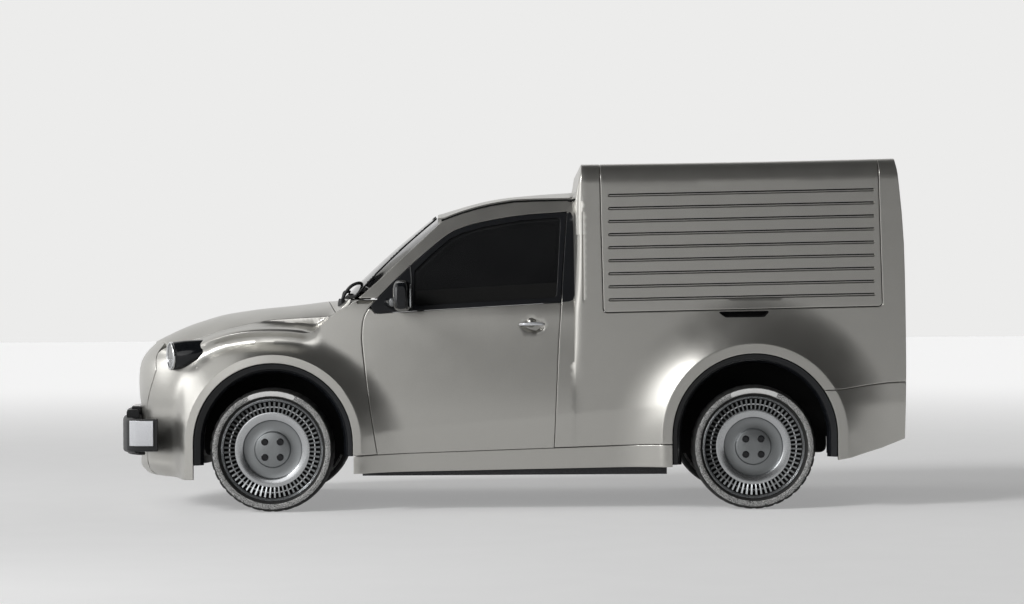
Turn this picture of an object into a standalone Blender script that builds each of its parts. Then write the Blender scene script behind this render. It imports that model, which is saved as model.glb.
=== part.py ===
"""Small panel van: a two door cab, a load box with gull wing side hatches, twin rear doors.

The van faces -X, its left side is at -Y and +Z is up. The origin is on the ground, at the middle
of the length and width. Lengths are in metres.
"""

import math

import bpy
import bmesh
from mathutils import Matrix, Vector
from mathutils.geometry import delaunay_2d_cdt

# Driving sizes of the whole van
WHEELBASE = 2.45
FRONT_OVERHANG = 0.865
REAR_OVERHANG = 0.775
HEIGHT = 1.785
WIDTH = 1.70

# Body side and its form
FLARE_STEP = 0.06
SILL_TUCK = 0.03
CAB_LEAN = 0.14
WAIST_BULGE = 0.012
BOX_LEAN = 0.012
NOSE_TAPER = 0.90
BOX_SHOULDER = 0.10
BOX_FRONT_DEPTH = 0.035
CAB_REAR_STEP = 0.025
WING_BAND = 0.10
WING_BAND_END = 0.02
WING_VALLEY = 0.045
PANEL_SEAM = 0.0008
SCREEN_BOW = 0.12
SCREEN_HEAD_BOW = 0.025
SCUTTLE_DEPTH = 0.075

# Wheels and arches
RIM_RADIUS = 0.262
TYRE_WALL = 0.054
TYRE_WIDTH = 0.17
WHEEL_INSET = 0.135
ARCH_ROOM = 0.091
REAR_ARCH_ROOM = 0.103
ARCH_LIFT = 0.036
REAR_ARCH_LIFT = 0.059
FRONT_ARCH_SHIFT = 0.010
FLARE_BAND = 0.042
REAR_FLARE_BAND = 0.051
FLARE_RAMP = 0.25
FLARE_RAMP_REAR = 0.13
FLARE_TURN = 0.05
FLARE_NOSE_ROOM = 0.20
FLARE_NOSE_FADE = 0.13
LINER_WALL = 0.012
LINER_REACH = 0.38
LIP_WIDTH = 0.05
LIP_DEPTH = 0.015
LIP_STAND = 0.002
DISC_OUT = 0.03
DISH_DEPTH = 0.016
RIM_OUT = 0.062
RIM_WALL = 0.012
HUB_BACK = 0.03

# Walls
SIDE_WALL = 0.05
WING_WALL = 0.03
NOSE_WALL = 0.03
ROOF_WALL = 0.03
BOX_ROOF_WALL = 0.035
BONNET_WALL = 0.02
GLASS_WALL = 0.006
FLOOR_WALL = 0.03
BULKHEAD_WALL = 0.02
REAR_WALL = 0.045
BUMPER_WALL = 0.03
SCUTTLE_WALL = 0.025

# Gaps
SEAT_GAP = 0.0004
SHUT_GAP = 0.008
LID_GAP = 0.006
OVERRUN = 0.02
LEAF_GAP = 0.0008
BUMPER_INSET = 0.001
BUMPER_STAND = 0.0012

# Fittings of the hatches, doors and bonnet
HATCH_LEAF = 0.04
LEAF_WALL = 0.008
REAR_LEAF = 0.05
DOOR_LEAF = 0.02
BONNET_LEAF = 0.04
BONNET_LEAF_BITE = 0.0025
BONNET_ARM = 0.02
BONNET_ARM_DROP = 0.022
GROOVE_COUNT = 9
GROOVE_RAKE = 0.02
GROOVE_WIDTH = 0.016
GROOVE_DEPTH = 0.012
GROOVE_INSET = 0.02
WINDOW_FRAME = 0.035
HANDLE_LENGTH = 0.11
HANDLE_HEIGHT = 0.022
HANDLE_STAND = 0.03
MIRROR_HALF_HEIGHT = 0.075
MIRROR_DEPTH = 0.07
MIRROR_REACH = 0.19
MIRROR_STALK = 0.08
FRAME_POST = 0.075
LAMP_MARGIN = 0.012
LAMP_RADIUS = 0.074
BUMPER_BOW = 0.115
BUMPER_END_ROOM = 0.022

# Underbody
SIDE_RAIL = 0.05
REAR_RAIL = 0.035
REAR_RAIL_ROOM = 0.06
FRONT_RAIL = 0.08
FRONT_RAIL_ROOM = 0.05
FRONT_RAIL_RISE = 0.04
FIREWALL_ROOM = 0.011
FIREWALL_WALL = 0.028
HINGE_PILLAR = 0.055
UNIT_AHEAD = 0.42
UNIT_BEHIND = 0.24
UNIT_ROOM = 0.05
KNUCKLE_INSET = 0.07
KNUCKLE_POST = 0.02
KNUCKLE_DROP = 0.106
KNUCKLE_RISE = 0.114
FLANGE_RADIUS = 0.055
FLANGE_WALL = 0.012
ARM_WALL = 0.02
ARM_WIDTH = 0.04
FRAME_WALL = 0.06
FRAME_LENGTH = 0.16
BEAM_RADIUS = 0.03
ARM_LENGTH = 0.50

# Cab
DASH_LENGTH = 0.26
COLUMN_LEAN = 25
COLUMN_LENGTH = 0.20
STEERING_RADIUS = 0.18
STEERING_RIM = 0.014
SEAT_FRONT = 0.48
SEAT_INNER_Y = 0.12
SEAT_DOOR_ROOM = 0.14
SEAT_HEIGHT = 0.33
SEAT_PAD = 0.11
SEAT_TALL = 0.72
HEADREST = 0.20

# Cell sizes of the panels' meshes, and sides of the round pieces
CELL_X = 0.17
CELL_UP = 0.14
CELL_ACROSS = 0.2
WING_CELL = 0.119
HATCH_CELL = 0.5
ARCH_SIDES = 14
CORNER_SIDES = 5
SHOULDER_SIDES = 4
WHEEL_SIDES = 24
LAMP_SIDES = 20
FLANGE_SIDES = 20
ROD_SIDES = 16
SPOKE_SIDES = 8
BUMPER_SIDES = 32
STEERING_SIDES = 20
STEERING_RIM_SIDES = 6
SLOPE_STEPS = 200

# Powers of the curved forms
TAPER_POWER = 2.6
BONNET_POWER = 2.4
FLARE_POWER = 2.2
ROOF_POWER = 2

# Outlines are shares. A station is -1 at the nose end, 0 at the front axle, 1 at the rear axle and 2
# at the tail, and has fixed values at the edges of both arches. A level is 0 on the ground and 1 at
# the height, and has a fixed value at the front arch's crown.
ARCH_STATION_SHARES = (-0.4590, 0.1702, 0.8290, 1.5406)
ARCH_CROWN_SHARE = 0.4487
DOOR_FRONT_SHARES = [(0.220, 0.164), (0.206, 0.290), (0.196, 0.389), (0.189, 0.475),
                     (0.189, 0.531), (0.196, 0.560), (0.208, 0.588)]
DOOR_TOP_SHARES = [(0.268, 0.672), (0.320, 0.737), (0.367, 0.792), (0.399, 0.811),
                   (0.439, 0.825), (0.519, 0.843), (0.615, 0.852)]
DOOR_REAR_SHARES = [(0.604, 0.647), (0.602, 0.593), (0.596, 0.478), (0.592, 0.364), (0.585, 0.182)]
WINDOW_SHARES = [(0.211, 0.580)]
WINDOW_FOOT_SHARES = [(0.313, 0.573)]
RAIL_SHARES = [(0.355, 0.828), (0.399, 0.850), (0.459, 0.871), (0.519, 0.882), (0.650, 0.885)]
ROOF_SHARES = [(0.339, 0.855), (0.394, 0.877), (0.436, 0.892), (0.478, 0.903), (0.520, 0.908),
               (0.584, 0.916), (0.650, 0.921)]
PILLAR_SHARES = [(0.181, 0.608), (0.224, 0.660), (0.245, 0.688)]
TAIL_SHARES = [(0.140, 1.990), (0.199, 1.991), (0.395, 2.000), (0.591, 1.998), (0.754, 1.991),
               (0.918, 1.961), (1.000, 1.940)]
NOSE_SHARES = [(0.094, -0.845), (0.106, -0.876), (0.127, -0.891), (0.145, -0.883), (0.290, -0.887),
               (0.322, -0.896), (0.363, -0.899), (0.398, -0.896), (0.426, -0.883), (0.453, -0.848),
               (0.481, -0.789)]
NOSE_SIDE_SHARES = [(0.094, 0.50), (0.168, 0.43), (0.270, 0.43), (0.336, 0.52), (0.404, 0.60),
                    (0.4505, 0.52)]
CREST_SHARES = [(-1.000, 0.4505), (-0.600, 0.4505), (-0.508, 0.457), (-0.367, 0.477), (-0.155, 0.498),
                (0.001, 0.503), (0.060, 0.500), (0.090, 0.516), (0.123, 0.546), (0.140, 0.562),
                (0.181, 0.5966), (0.230, 0.5966)]
VALLEY_SHARES = [(-0.60, 0.0), (-0.20, 0.35), (0.05, 1.0), (0.10, 0.9), (0.125, 0.3), (0.14, 0.0)]
BONNET_SHARES = [(-0.789, 0.481), (-0.694, 0.505), (-0.583, 0.529), (-0.472, 0.547), (-0.361, 0.564),
                 (-0.249, 0.571), (-0.137, 0.579), (0.030, 0.587), (0.105, 0.601), (0.132, 0.604)]
BONNET_SIDE_SHARES = [(-0.800, 0.450, 0.465), (-0.669, 0.500, 0.470), (-0.465, 0.590, 0.494),
                      (-0.333, 0.625, 0.515), (-0.179, 0.660, 0.533), (-0.017, 0.685, 0.545),
                      (0.051, 0.705, 0.555), (0.119, 0.730, 0.562), (0.150, 0.745, 0.575),
                      (0.181, 0.830, 0.6074), (0.230, 0.830, 0.6074)]
HATCH_SHARES = [(0.691, 0.579), (0.699, 0.564), (1.828, 0.576), (1.845, 0.584)]
HATCH_TOP_SHARES = [(1.825, 0.935), (0.685, 0.935)]
SILL_SHARES = [(0.154, 0.1105), (0.832, 0.124)]
CREASE_SHARES = [(0.150, 0.205), (0.796, 0.296), (0.830, 0.300)]
BUMPER_SEAM_SHARES = [(1.43, 0.337), (2.00, 0.364)]
BUMPER_FOOT_SHARES = [(1.991, 0.199), (1.840, 0.173), (1.630, 0.148), (1.40, 0.141)]
WAIST_SHARE = 0.575
BOX_FRONT_SHARE = 0.651
BOX_ROOF_SHARES = [(0.651, 0.987), (1.000, 0.992), (2.000, 0.9995)]
ROOF_SEAM_SHARE = 0.578
SCREEN_FOOT_SHARE = 0.132
SCREEN_LINE_SHARE = 0.70
HOOD_AXIS_SHARES = (0.137, 0.610)
SCREEN_FOOT_LEVEL_SHARE = 0.606
SCREEN_CELL_SHARE = 0.25
LIP_SHARES = (-1, -0.7, -0.35, 0, 0.35, 0.7, 1)
SCUTTLE_SHARE = 0.98
TAPER_START_SHARE = 0.0005
NOSE_EDGE_SHARE = 0.999
FLARE_TURN_SHARE = 1.3
GROOVE_LEVEL_SHARES = (0.593, 0.890)
HATCH_LEAF_SHARES = (0.12, 0.5, 0.88)
HANDLE_SHARES = (0.540, 0.531)
MIRROR_SHARES = (0.285, 0.610)
MIRROR_FOOT_SHARES = (0.245, 0.590)
MIRROR_HEAD_SHARES = ((-0.50, -0.6), (0.33, -1.0), (0.50, -0.7), (0.50, 0.8), (0.33, 1.0), (-0.50, 0.5))
REAR_INNER_SHARES = (1.96, 0.90)
REAR_LEAF_SHARES = (0.15, 0.85)
FRAME_SILL_SHARE = 0.366
DOOR_SILL_SHARE = 0.373
DOOR_HEAD_SHARE = 0.925
LAMP_LEVEL_SHARES = (0.47, 0.66)
CARGO_FLOOR_SHARE = 0.2409
CAB_FLOOR_SHARE = 0.1485
RAIL_FOOT_SHARE = 0.0997
PLUG_SHARE = 0.8
FIREWALL_TOP_SHARE = 0.577
SUPPORT_SHARES = (-0.6474, 0.4258)
UNIT_TOP_SHARE = 0.4146
BONNET_LEAF_SHARES = (0.1082, 0.4706)
DOOR_LEAF_LEVEL_SHARES = (0.40, 0.52)
BUMPER_HALF_SHARE = 0.775
BUMPER_LEVEL_SHARES = (0.166, 0.261)
BUMPER_NOSE_SHARE = 0.21
LAMP_STATION_SHARES = (-0.622, -0.390)
LAMP_Y_SHARE = 0.715
LAMP_TOP_SHARE = 0.486
LAMP_SECTION_SHARES = ((0, 1), (0.12, 0.99), (0.5, 0.86), (0.8, 0.62), (1, 0.30))
LINER_FOOT_SHARES = ((0.135, 0.160), (0.130, 0.150))
HUB_SHARE = 0.336
HUB_SEAT_SHARE = 0.229
DISH_SHARE = 0.565
RING_SHARE = 0.733
LOUVRE_SHARE = 0.9275
TYRE_SHARES = ((0, 0.729), (0.2, 0.97), (0.6, 1.0), (0.88, 0.93), (1.0, 0.74))
DASH_LEVEL_SHARES = (0.4034, 0.5490)
COLUMN_SHARE = 0.4762

FRONT_X = -(FRONT_OVERHANG + WHEELBASE + REAR_OVERHANG) / 2 + FRONT_OVERHANG
REAR_X = FRONT_X + WHEELBASE
HALF_WIDTH = WIDTH / 2
SIDE_HALF = HALF_WIDTH - FLARE_STEP
TRACK_HALF = HALF_WIDTH - WHEEL_INSET
TYRE_RADIUS = RIM_RADIUS + TYRE_WALL
FRONT_ARCH_X = FRONT_X + FRONT_ARCH_SHIFT
FRONT_ARCH_Z = TYRE_RADIUS + ARCH_LIFT
REAR_ARCH_Z = TYRE_RADIUS + REAR_ARCH_LIFT
FRONT_ARCH_R = TYRE_RADIUS + ARCH_ROOM
REAR_ARCH_R = TYRE_RADIUS + REAR_ARCH_ROOM
STATIONS = [(-1, FRONT_X - FRONT_OVERHANG), (ARCH_STATION_SHARES[0], FRONT_ARCH_X - FRONT_ARCH_R),
            (0, FRONT_X), (ARCH_STATION_SHARES[1], FRONT_ARCH_X + FRONT_ARCH_R),
            (ARCH_STATION_SHARES[2], REAR_X - REAR_ARCH_R), (1, REAR_X),
            (ARCH_STATION_SHARES[3], REAR_X + REAR_ARCH_R), (2, REAR_X + REAR_OVERHANG)]
LEVELS = [(0, 0), (ARCH_CROWN_SHARE, FRONT_ARCH_Z + FRONT_ARCH_R + FLARE_BAND), (1, HEIGHT)]


def read(table, at):
    """Straight line value in a table of (at, value), held at its ends."""
    if at <= table[0][0]:
        return table[0][1]
    for (a, va), (b, vb) in zip(table, table[1:]):
        if at <= b:
            return va + (vb - va) * (at - a) / (b - a)
    return table[-1][1]


def along(share):
    """X of a station share."""
    return read(STATIONS, share)


def up(share):
    """Z of a level share."""
    return read(LEVELS, share)


def spots(shares):
    return [(along(s), up(h)) for s, h in shares]


def smooth(value):
    value = min(max(value, 0), 1)
    return value * value * (3 - 2 * value)


RAIL = spots(RAIL_SHARES)
ROOF = spots(ROOF_SHARES)
CREST = spots(CREST_SHARES)
CREASE = spots(CREASE_SHARES)
VALLEY = [(along(s), share) for s, share in VALLEY_SHARES]
BONNET = spots(BONNET_SHARES)
BOX_ROOF = spots(BOX_ROOF_SHARES)
TAIL = [(up(h), along(s)) for h, s in TAIL_SHARES]
NOSE = [(up(h), along(s)) for h, s in NOSE_SHARES]
NOSE_SIDE = [(up(h), share * SIDE_HALF) for h, share in NOSE_SIDE_SHARES]
BONNET_EDGE = [(along(s), share * HALF_WIDTH) for s, share, _ in BONNET_SIDE_SHARES]
BONNET_EDGE_Z = [(along(s), up(h)) for s, _, h in BONNET_SIDE_SHARES]
NOSE_TIP = min(x for _, x in NOSE)
BOX_FRONT_X = along(BOX_FRONT_SHARE)
WAIST_Z = up(WAIST_SHARE)
SILL_Z = up(SILL_SHARES[0][1])
SCREEN_FOOT_X = along(SCREEN_FOOT_SHARE)
NOSE_LEVELS = sorted({z for z, _ in NOSE_SIDE} | {z for z, _ in NOSE if z < NOSE_SIDE[-1][0]})
SCREEN_LINES = [SCREEN_LINE_SHARE * SIDE_HALF * t for t in LIP_SHARES]
CARGO_FLOOR_Z = up(CARGO_FLOOR_SHARE)
CAB_FLOOR_Z = up(CAB_FLOOR_SHARE)
LINER_BACK = HALF_WIDTH - LINER_REACH
FRONT_RAIL_Y = LINER_BACK - FRONT_RAIL_ROOM - FRONT_RAIL
ARM_Y = LINER_BACK - REAR_RAIL_ROOM - SIDE_RAIL
FIREWALL_X = FRONT_ARCH_X + FRONT_ARCH_R + FIREWALL_ROOM
SUPPORT_X = along(SUPPORT_SHARES[0])
KNUCKLE_Y = TRACK_HALF - KNUCKLE_INSET
KNUCKLE_LOW = TYRE_RADIUS - KNUCKLE_DROP
KNUCKLE_HIGH = TYRE_RADIUS + KNUCKLE_RISE
FRAME_LOW = KNUCKLE_LOW - ARM_WALL / 2
FRAME_HIGH = FRAME_LOW + FRAME_WALL
FRONT_RAIL_Z = FRAME_HIGH + FRONT_RAIL_RISE
SEAT_OUTER_Y = SIDE_HALF - SIDE_WALL - SEAT_DOOR_ROOM
SIDES = (("left", -1), ("right", 1))
PANEL_CELLS = (CELL_X, CELL_UP)


# Surfaces of the body

def cab_half(z):
    if z < WAIST_Z:
        return SIDE_HALF - WAIST_BULGE * smooth(z / WAIST_Z)
    rise = (z - WAIST_Z) / (RAIL[-1][1] - WAIST_Z)
    return SIDE_HALF - WAIST_BULGE - CAB_LEAN * rise


def taper_share(x, z):
    """Half width of the nose in plan, as a share of the straight side's."""
    s = (x - read(NOSE, z)) / NOSE_TAPER
    s = min(max(s, TAPER_START_SHARE), 1)
    return math.sqrt(1 - (1 - s) ** TAPER_POWER)


def nose_x(y, z):
    """The same plan curve read the other way: X of the nose at a half width."""
    share = min(abs(y) / cab_half(z), NOSE_EDGE_SHARE)
    return read(NOSE, z) + NOSE_TAPER * (1 - (1 - share * share) ** (1 / TAPER_POWER))


BONNET_CORNER = NOSE_SIDE[-1][1] - LID_GAP
BONNET_EDGE[0] = (nose_x(BONNET_CORNER, NOSE_SIDE[-1][0]), BONNET_CORNER)


def arch_distance(x, z, arch_x, arch_z):
    if z < arch_z:
        return abs(x - arch_x)
    return math.hypot(x - arch_x, z - arch_z)


def plain_half(x, z):
    """Half width of the body side with no flares."""
    box = SIDE_HALF - BOX_LEAN * smooth(z / HEIGHT)
    cab = cab_half(z)
    step = min(max((x - BOX_FRONT_X + CAB_REAR_STEP) / CAB_REAR_STEP, 0), 1)
    half = cab + (box - cab) * step
    crease = read(CREASE, x)
    if z < crease and x > CREASE[0][0] - FLARE_RAMP:
        fade = smooth((x - CREASE[0][0] + FLARE_RAMP) / FLARE_RAMP)
        half -= SILL_TUCK * fade * min((crease - z) / (crease - SILL_Z), 1)
    return half * taper_share(x, z)


def flare(half, x, z, arch_x, arch_z, inner, band, ramp):
    """Raises the side to the flat flare band around an arch."""
    away = arch_distance(x, z, arch_x, arch_z)
    turn = min(max((arch_x - x) / (inner + band), 0), FLARE_TURN_SHARE) if arch_x < 0 else 0
    face = HALF_WIDTH - FLARE_TURN * turn ** 2
    reach = ramp if x < arch_x or z > arch_z + inner else FLARE_RAMP_REAR
    if arch_x > 0:
        reach = ramp
    share = min(max(1 - (away - inner - band) / reach, 0), 1)
    if arch_x < 0:
        share *= smooth((x - NOSE_TIP - FLARE_NOSE_ROOM) / FLARE_NOSE_FADE)
    return half + max(face - half, 0) * share ** FLARE_POWER


def skin(x, z):
    """Half width of the finished body side."""
    half = plain_half(x, z)
    if x < 0:
        return flare(half, x, z, FRONT_ARCH_X, FRONT_ARCH_Z, FRONT_ARCH_R, FLARE_BAND, FLARE_RAMP)
    return flare(half, x, z, REAR_X, REAR_ARCH_Z, REAR_ARCH_R, REAR_FLARE_BAND, FLARE_RAMP)


def inward(x, z):
    """Unit vector (x, y) that points into a wall on the +Y side."""
    step = NOSE_TAPER / SLOPE_STEPS
    rise = (taper_share(x + step, z) - taper_share(x - step, z)) * SIDE_HALF / (2 * step)
    rise *= 1 - smooth((x - NOSE_TIP - FLARE_NOSE_ROOM) / FLARE_NOSE_FADE)
    size = math.hypot(rise, 1)
    return rise / size, -1 / size


def on_side(side):
    """Places (x, z, depth) on the body side."""
    def place(x, z, depth):
        nx, ny = inward(x, z)
        return x + nx * depth, side * (skin(x, z) + ny * depth), z
    return place


def box_section(x, v, depth):
    """Half width and height on the box: up the side, round the shoulder, over the roof."""
    roof = read(BOX_ROOF, x)
    turn = roof - BOX_SHOULDER
    if v <= turn:
        return skin(x, v) - depth, v
    edge = skin(x, turn)
    quarter = BOX_SHOULDER * math.pi / 2
    if v <= turn + quarter:
        angle = (v - turn) / BOX_SHOULDER
        reach = BOX_SHOULDER - depth
        return edge - BOX_SHOULDER + reach * math.cos(angle), turn + reach * math.sin(angle)
    return edge - BOX_SHOULDER - (v - turn - quarter), roof - depth


def on_box(side):
    def place(x, v, depth):
        y, z = box_section(x, v, depth)
        return x, side * y, z
    return place


def band_height(x):
    """Param height of the wing's top band, which narrows towards the pillar."""
    gap = read(BONNET_EDGE_Z, x) - read(CREST, x) - WING_BAND_END
    return WING_BAND * smooth(gap / WING_VALLEY) + WING_BAND_END


def on_wing(side):
    """The wing's side up to its crest, and from there the band that runs in to the bonnet."""
    def place(x, v, depth):
        crest = read(CREST, x)
        nx, ny = inward(x, min(v, crest))
        if v <= crest:
            return x + nx * depth, side * (skin(x, v) + ny * depth), v
        t = min((v - crest) / band_height(x), 1)
        edge_y = min(read(BONNET_EDGE, x) + LID_GAP, skin(x, crest) - LID_GAP)
        edge_z = max(read(BONNET_EDGE_Z, x) - WING_VALLEY * read(VALLEY, x), crest)
        y = skin(x, crest) * (1 - t) + edge_y * t
        z = crest * (1 - t) + edge_z * t
        lean = smooth(t * 2) * smooth((along(PILLAR_SHARES[0][0]) - x) / WING_BAND)
        y += ny * depth * (1 - lean)
        z -= depth * lean
        return x + nx * depth * (1 - lean), side * y, z
    return place


def on_nose(y, z, depth):
    side = 1 if y >= 0 else -1
    x = nose_x(y, z)
    nx, ny = inward(x, z)
    if abs(y) < NOSE_WALL:
        share = abs(y) / NOSE_WALL
        nx, ny = 1 - share + nx * share, ny * share
    return x + nx * depth, y + side * ny * depth, z


def bonnet_z(x, y):
    edge = read(BONNET_EDGE, x)
    middle = read(BONNET, x)
    share = min(abs(y) / edge, 1) ** BONNET_POWER
    return middle + (read(BONNET_EDGE_Z, x) - middle) * share


def on_bonnet(x, y, depth):
    return x, y, bonnet_z(x, y) - depth


def rail_half(x):
    return skin(x, read(RAIL, x)) - SIDE_WALL - SEAT_GAP


def on_cab_roof(x, y, depth):
    rail = read(RAIL, x)
    share = min(abs(y) / rail_half(x), 1) ** ROOF_POWER
    return x, y, read(ROOF, x) + (rail - read(ROOF, x)) * share - depth


def screen_foot(y):
    return SCREEN_FOOT_X + SCREEN_BOW * (y / SIDE_HALF) ** 2


def screen_head(y):
    return ROOF[0][0] + SCREEN_HEAD_BOW * (y / SIDE_HALF) ** 2


def on_screen(share, y, depth):
    """The windscreen between its foot and its head at one distance from the middle."""
    foot = screen_foot(y)
    head = screen_head(y)
    low = up(SCREEN_FOOT_LEVEL_SHARE)
    high = on_cab_roof(head, y, 0)[2]
    return foot + (head - foot) * share, y, low + (high - low) * share - depth


def on_tail(y, z, depth):
    return read(TAIL, z) - depth, y, z


# Mesh tools

def steps(low, high, cell):
    count = max(1, math.ceil((high - low) / cell))
    return [low + (high - low) * i / count for i in range(count + 1)]


def inside(point, loop):
    hit = False
    for (ax, ay), (bx, by) in zip(loop, loop[1:] + loop[:1]):
        if (ay > point[1]) != (by > point[1]):
            if point[0] < ax + (bx - ax) * (point[1] - ay) / (by - ay):
                hit = not hit
    return hit


def area(loop):
    return sum(a[0] * b[1] - b[0] * a[1] for a, b in zip(loop, loop[1:] + loop[:1])) / 2


def grown(loop, distance):
    """An outline moved outwards by a distance, or inwards by a negative one."""
    sign = 1 if area(loop) > 0 else -1
    result = []
    for before, here, after in zip(loop[-1:] + loop[:-1], loop, loop[1:] + loop[:1]):
        one = Vector((here[0] - before[0], here[1] - before[1])).normalized()
        two = Vector((after[0] - here[0], after[1] - here[1])).normalized()
        out = Vector((one.y + two.y, -one.x - two.x)) * sign
        size = max(out.length_squared / 2, 0.35)
        result.append((here[0] + out.x * distance / size, here[1] + out.y * distance / size))
    return result


def arc(centre, radius, start, end, count):
    """Points from one angle to another, in degrees, with both ends."""
    angles = [math.radians(start + (end - start) * i / count) for i in range(count + 1)]
    return [(centre[0] + radius * math.cos(a), centre[1] + radius * math.sin(a)) for a in angles]


def material(name, color, roughness, metallic=0.0):
    found = bpy.data.materials.get(name)
    if found:
        return found
    made = bpy.data.materials.new(name)
    made.use_nodes = True
    shader = made.node_tree.nodes["Principled BSDF"]
    shader.inputs["Base Color"].default_value = (*color, 1)
    shader.inputs["Roughness"].default_value = roughness
    shader.inputs["Metallic"].default_value = metallic
    return made


PAINT = material("grey_paint", (0.30, 0.30, 0.28), 0.38, 0.7)
BLACK = material("black_plastic", (0.02, 0.02, 0.02), 0.4)
GLOSS = material("black_gloss", (0.01, 0.01, 0.012), 0.08)
GLASS = material("dark_glass", (0.02, 0.022, 0.025), 0.03)
RUBBER = material("tyre_rubber", (0.03, 0.03, 0.03), 0.8)
ALLOY = material("wheel_alloy", (0.45, 0.46, 0.47), 0.35, 0.9)
STEEL = material("chassis_steel", (0.08, 0.08, 0.085), 0.5, 0.6)
FABRIC = material("seat_fabric", (0.05, 0.05, 0.055), 0.9)
LAMP_RED = material("lamp_red", (0.35, 0.01, 0.01), 0.15)


def finish(name, mesh_data, finish_material, smooth_faces=False):
    mesh = bpy.data.meshes.new(name)
    bmesh.ops.recalc_face_normals(mesh_data, faces=mesh_data.faces)
    mesh_data.to_mesh(mesh)
    mesh_data.free()
    mesh.materials.append(finish_material)
    made = bpy.data.objects.new(name, mesh)
    bpy.context.collection.objects.link(made)
    if smooth_faces:
        mesh.shade_smooth()
        mesh.set_sharp_from_angle(angle=math.radians(35))
    return made


def panel(name, outline, place, depth, finish_material, cells, holes=(), lines=(), lift=0.0,
          at_u=(), at_v=()):
    """A closed wall: an outline in (u, v) laid on a surface, from its outside to a depth."""
    us = [p[0] for p in outline]
    vs = [p[1] for p in outline]
    points = []
    edges = []

    def add_line(line, closed):
        first = len(points)
        points.extend(Vector(p) for p in line)
        edges.extend((first + i, first + i + 1) for i in range(len(line) - 1))
        if closed:
            edges.append((first + len(line) - 1, first))

    add_line(outline, True)
    for hole in holes:
        add_line(hole, True)
    for line in lines:
        add_line(line, False)
    for u in list(steps(min(us), max(us), cells[0])[1:-1]) + list(at_u):
        add_line([(u, min(vs) - OVERRUN), (u, max(vs) + OVERRUN)], False)
    for v in list(steps(min(vs), max(vs), cells[1])[1:-1]) + list(at_v):
        add_line([(min(us) - OVERRUN, v), (max(us) + OVERRUN, v)], False)
    flat, _, faces, _, _, _ = delaunay_2d_cdt(points, edges, [], 0, 1e-5)
    kept = []
    for face in faces:
        middle = sum((flat[i] for i in face), Vector((0, 0))) / len(face)
        if inside(middle, outline) and not any(inside(middle, hole) for hole in holes):
            kept.append(face)
    used = sorted({i for face in kept for i in face})
    data = bmesh.new()
    outer = {i: data.verts.new(place(flat[i].x, flat[i].y, -lift)) for i in used}
    inner = {i: data.verts.new(place(flat[i].x, flat[i].y, depth + lift)) for i in used}
    sides = {}
    for face in kept:
        data.faces.new([outer[i] for i in face])
        data.faces.new([inner[i] for i in reversed(face)])
        for a, b in zip(face, face[1:] + face[:1]):
            if (b, a) in sides:
                del sides[(b, a)]
            else:
                sides[(a, b)] = True
    for a, b in sides:
        data.faces.new([outer[b], outer[a], inner[a], inner[b]])
    return finish(name, data, finish_material, True)


def prism(name, outline, plane, low, high, finish_material):
    """An outline extruded across its plane, xz along Y, yz along X or xy along Z."""
    turn = {"xz": lambda a, b, c: (a, c, b), "yz": lambda a, b, c: (c, a, b),
            "xy": lambda a, b, c: (a, b, c)}[plane]
    data = bmesh.new()
    bottom = [data.verts.new(turn(a, b, low)) for a, b in outline]
    top = [data.verts.new(turn(a, b, high)) for a, b in outline]
    data.faces.new(bottom)
    data.faces.new(top[::-1])
    for i in range(len(outline)):
        j = (i + 1) % len(outline)
        data.faces.new([bottom[i], top[i], top[j], bottom[j]])
    return finish(name, data, finish_material)


def block(name, low, high, finish_material):
    outline = [(low[0], low[1]), (high[0], low[1]), (high[0], high[1]), (low[0], high[1])]
    return prism(name, outline, "xy", low[2], high[2], finish_material)


def rod(name, start, end, radius, sides, finish_material):
    """A solid rod between two points."""
    start = Vector(start)
    end = Vector(end)
    data = bmesh.new()
    bmesh.ops.create_cone(data, cap_ends=True, segments=sides, radius1=radius, radius2=radius,
                          depth=(end - start).length)
    turn = Vector((0, 0, 1)).rotation_difference(end - start).to_matrix().to_4x4()
    data.transform(Matrix.Translation((start + end) / 2) @ turn)
    return finish(name, data, finish_material, True)


def turned(name, profile, sides, finish_material):
    """A closed profile of (radius, across) turned about the local Y axis."""
    data = bmesh.new()
    rings = []
    for radius, across in profile:
        if radius == 0:
            rings.append([data.verts.new((0, across, 0))])
            continue
        rings.append([data.verts.new((radius * math.cos(2 * math.pi * k / sides), across,
                                      radius * math.sin(2 * math.pi * k / sides)))
                      for k in range(sides)])
    pairs = list(zip(rings, rings[1:]))
    if len(rings[0]) > 1:
        pairs.append((rings[-1], rings[0]))
    for one, two in pairs:
        for k in range(sides):
            n = (k + 1) % sides
            corners = []
            for vert in (one[k % len(one)], one[n % len(one)], two[n % len(two)], two[k % len(two)]):
                if vert not in corners:
                    corners.append(vert)
            data.faces.new(corners)
    return finish(name, data, finish_material, True)


def combine(target, others, operation):
    """Boolean of a node with helper solids, which stay in the file as wire guides."""
    for other in others:
        cut = target.modifiers.new(other.name, "BOOLEAN")
        cut.operation = operation
        cut.solver = "EXACT"
        cut.object = other
        other.hide_render = True
        other.display_type = "WIRE"
    return target


def hang(node, empty):
    """Parents a node to the empty on its joint's axis, and leaves it where it is."""
    node.parent = empty
    node.matrix_parent_inverse = Matrix.Translation(-empty.location)
    return node


def pivot(name, place):
    empty = bpy.data.objects.new(name, None)
    empty.location = place
    bpy.context.collection.objects.link(empty)
    return empty


# Outlines that neighbours share

def door_outline():
    return spots(DOOR_FRONT_SHARES + DOOR_TOP_SHARES + DOOR_REAR_SHARES)


def window_outline():
    return spots(WINDOW_SHARES + DOOR_TOP_SHARES + DOOR_REAR_SHARES[:2] + WINDOW_FOOT_SHARES)


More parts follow.
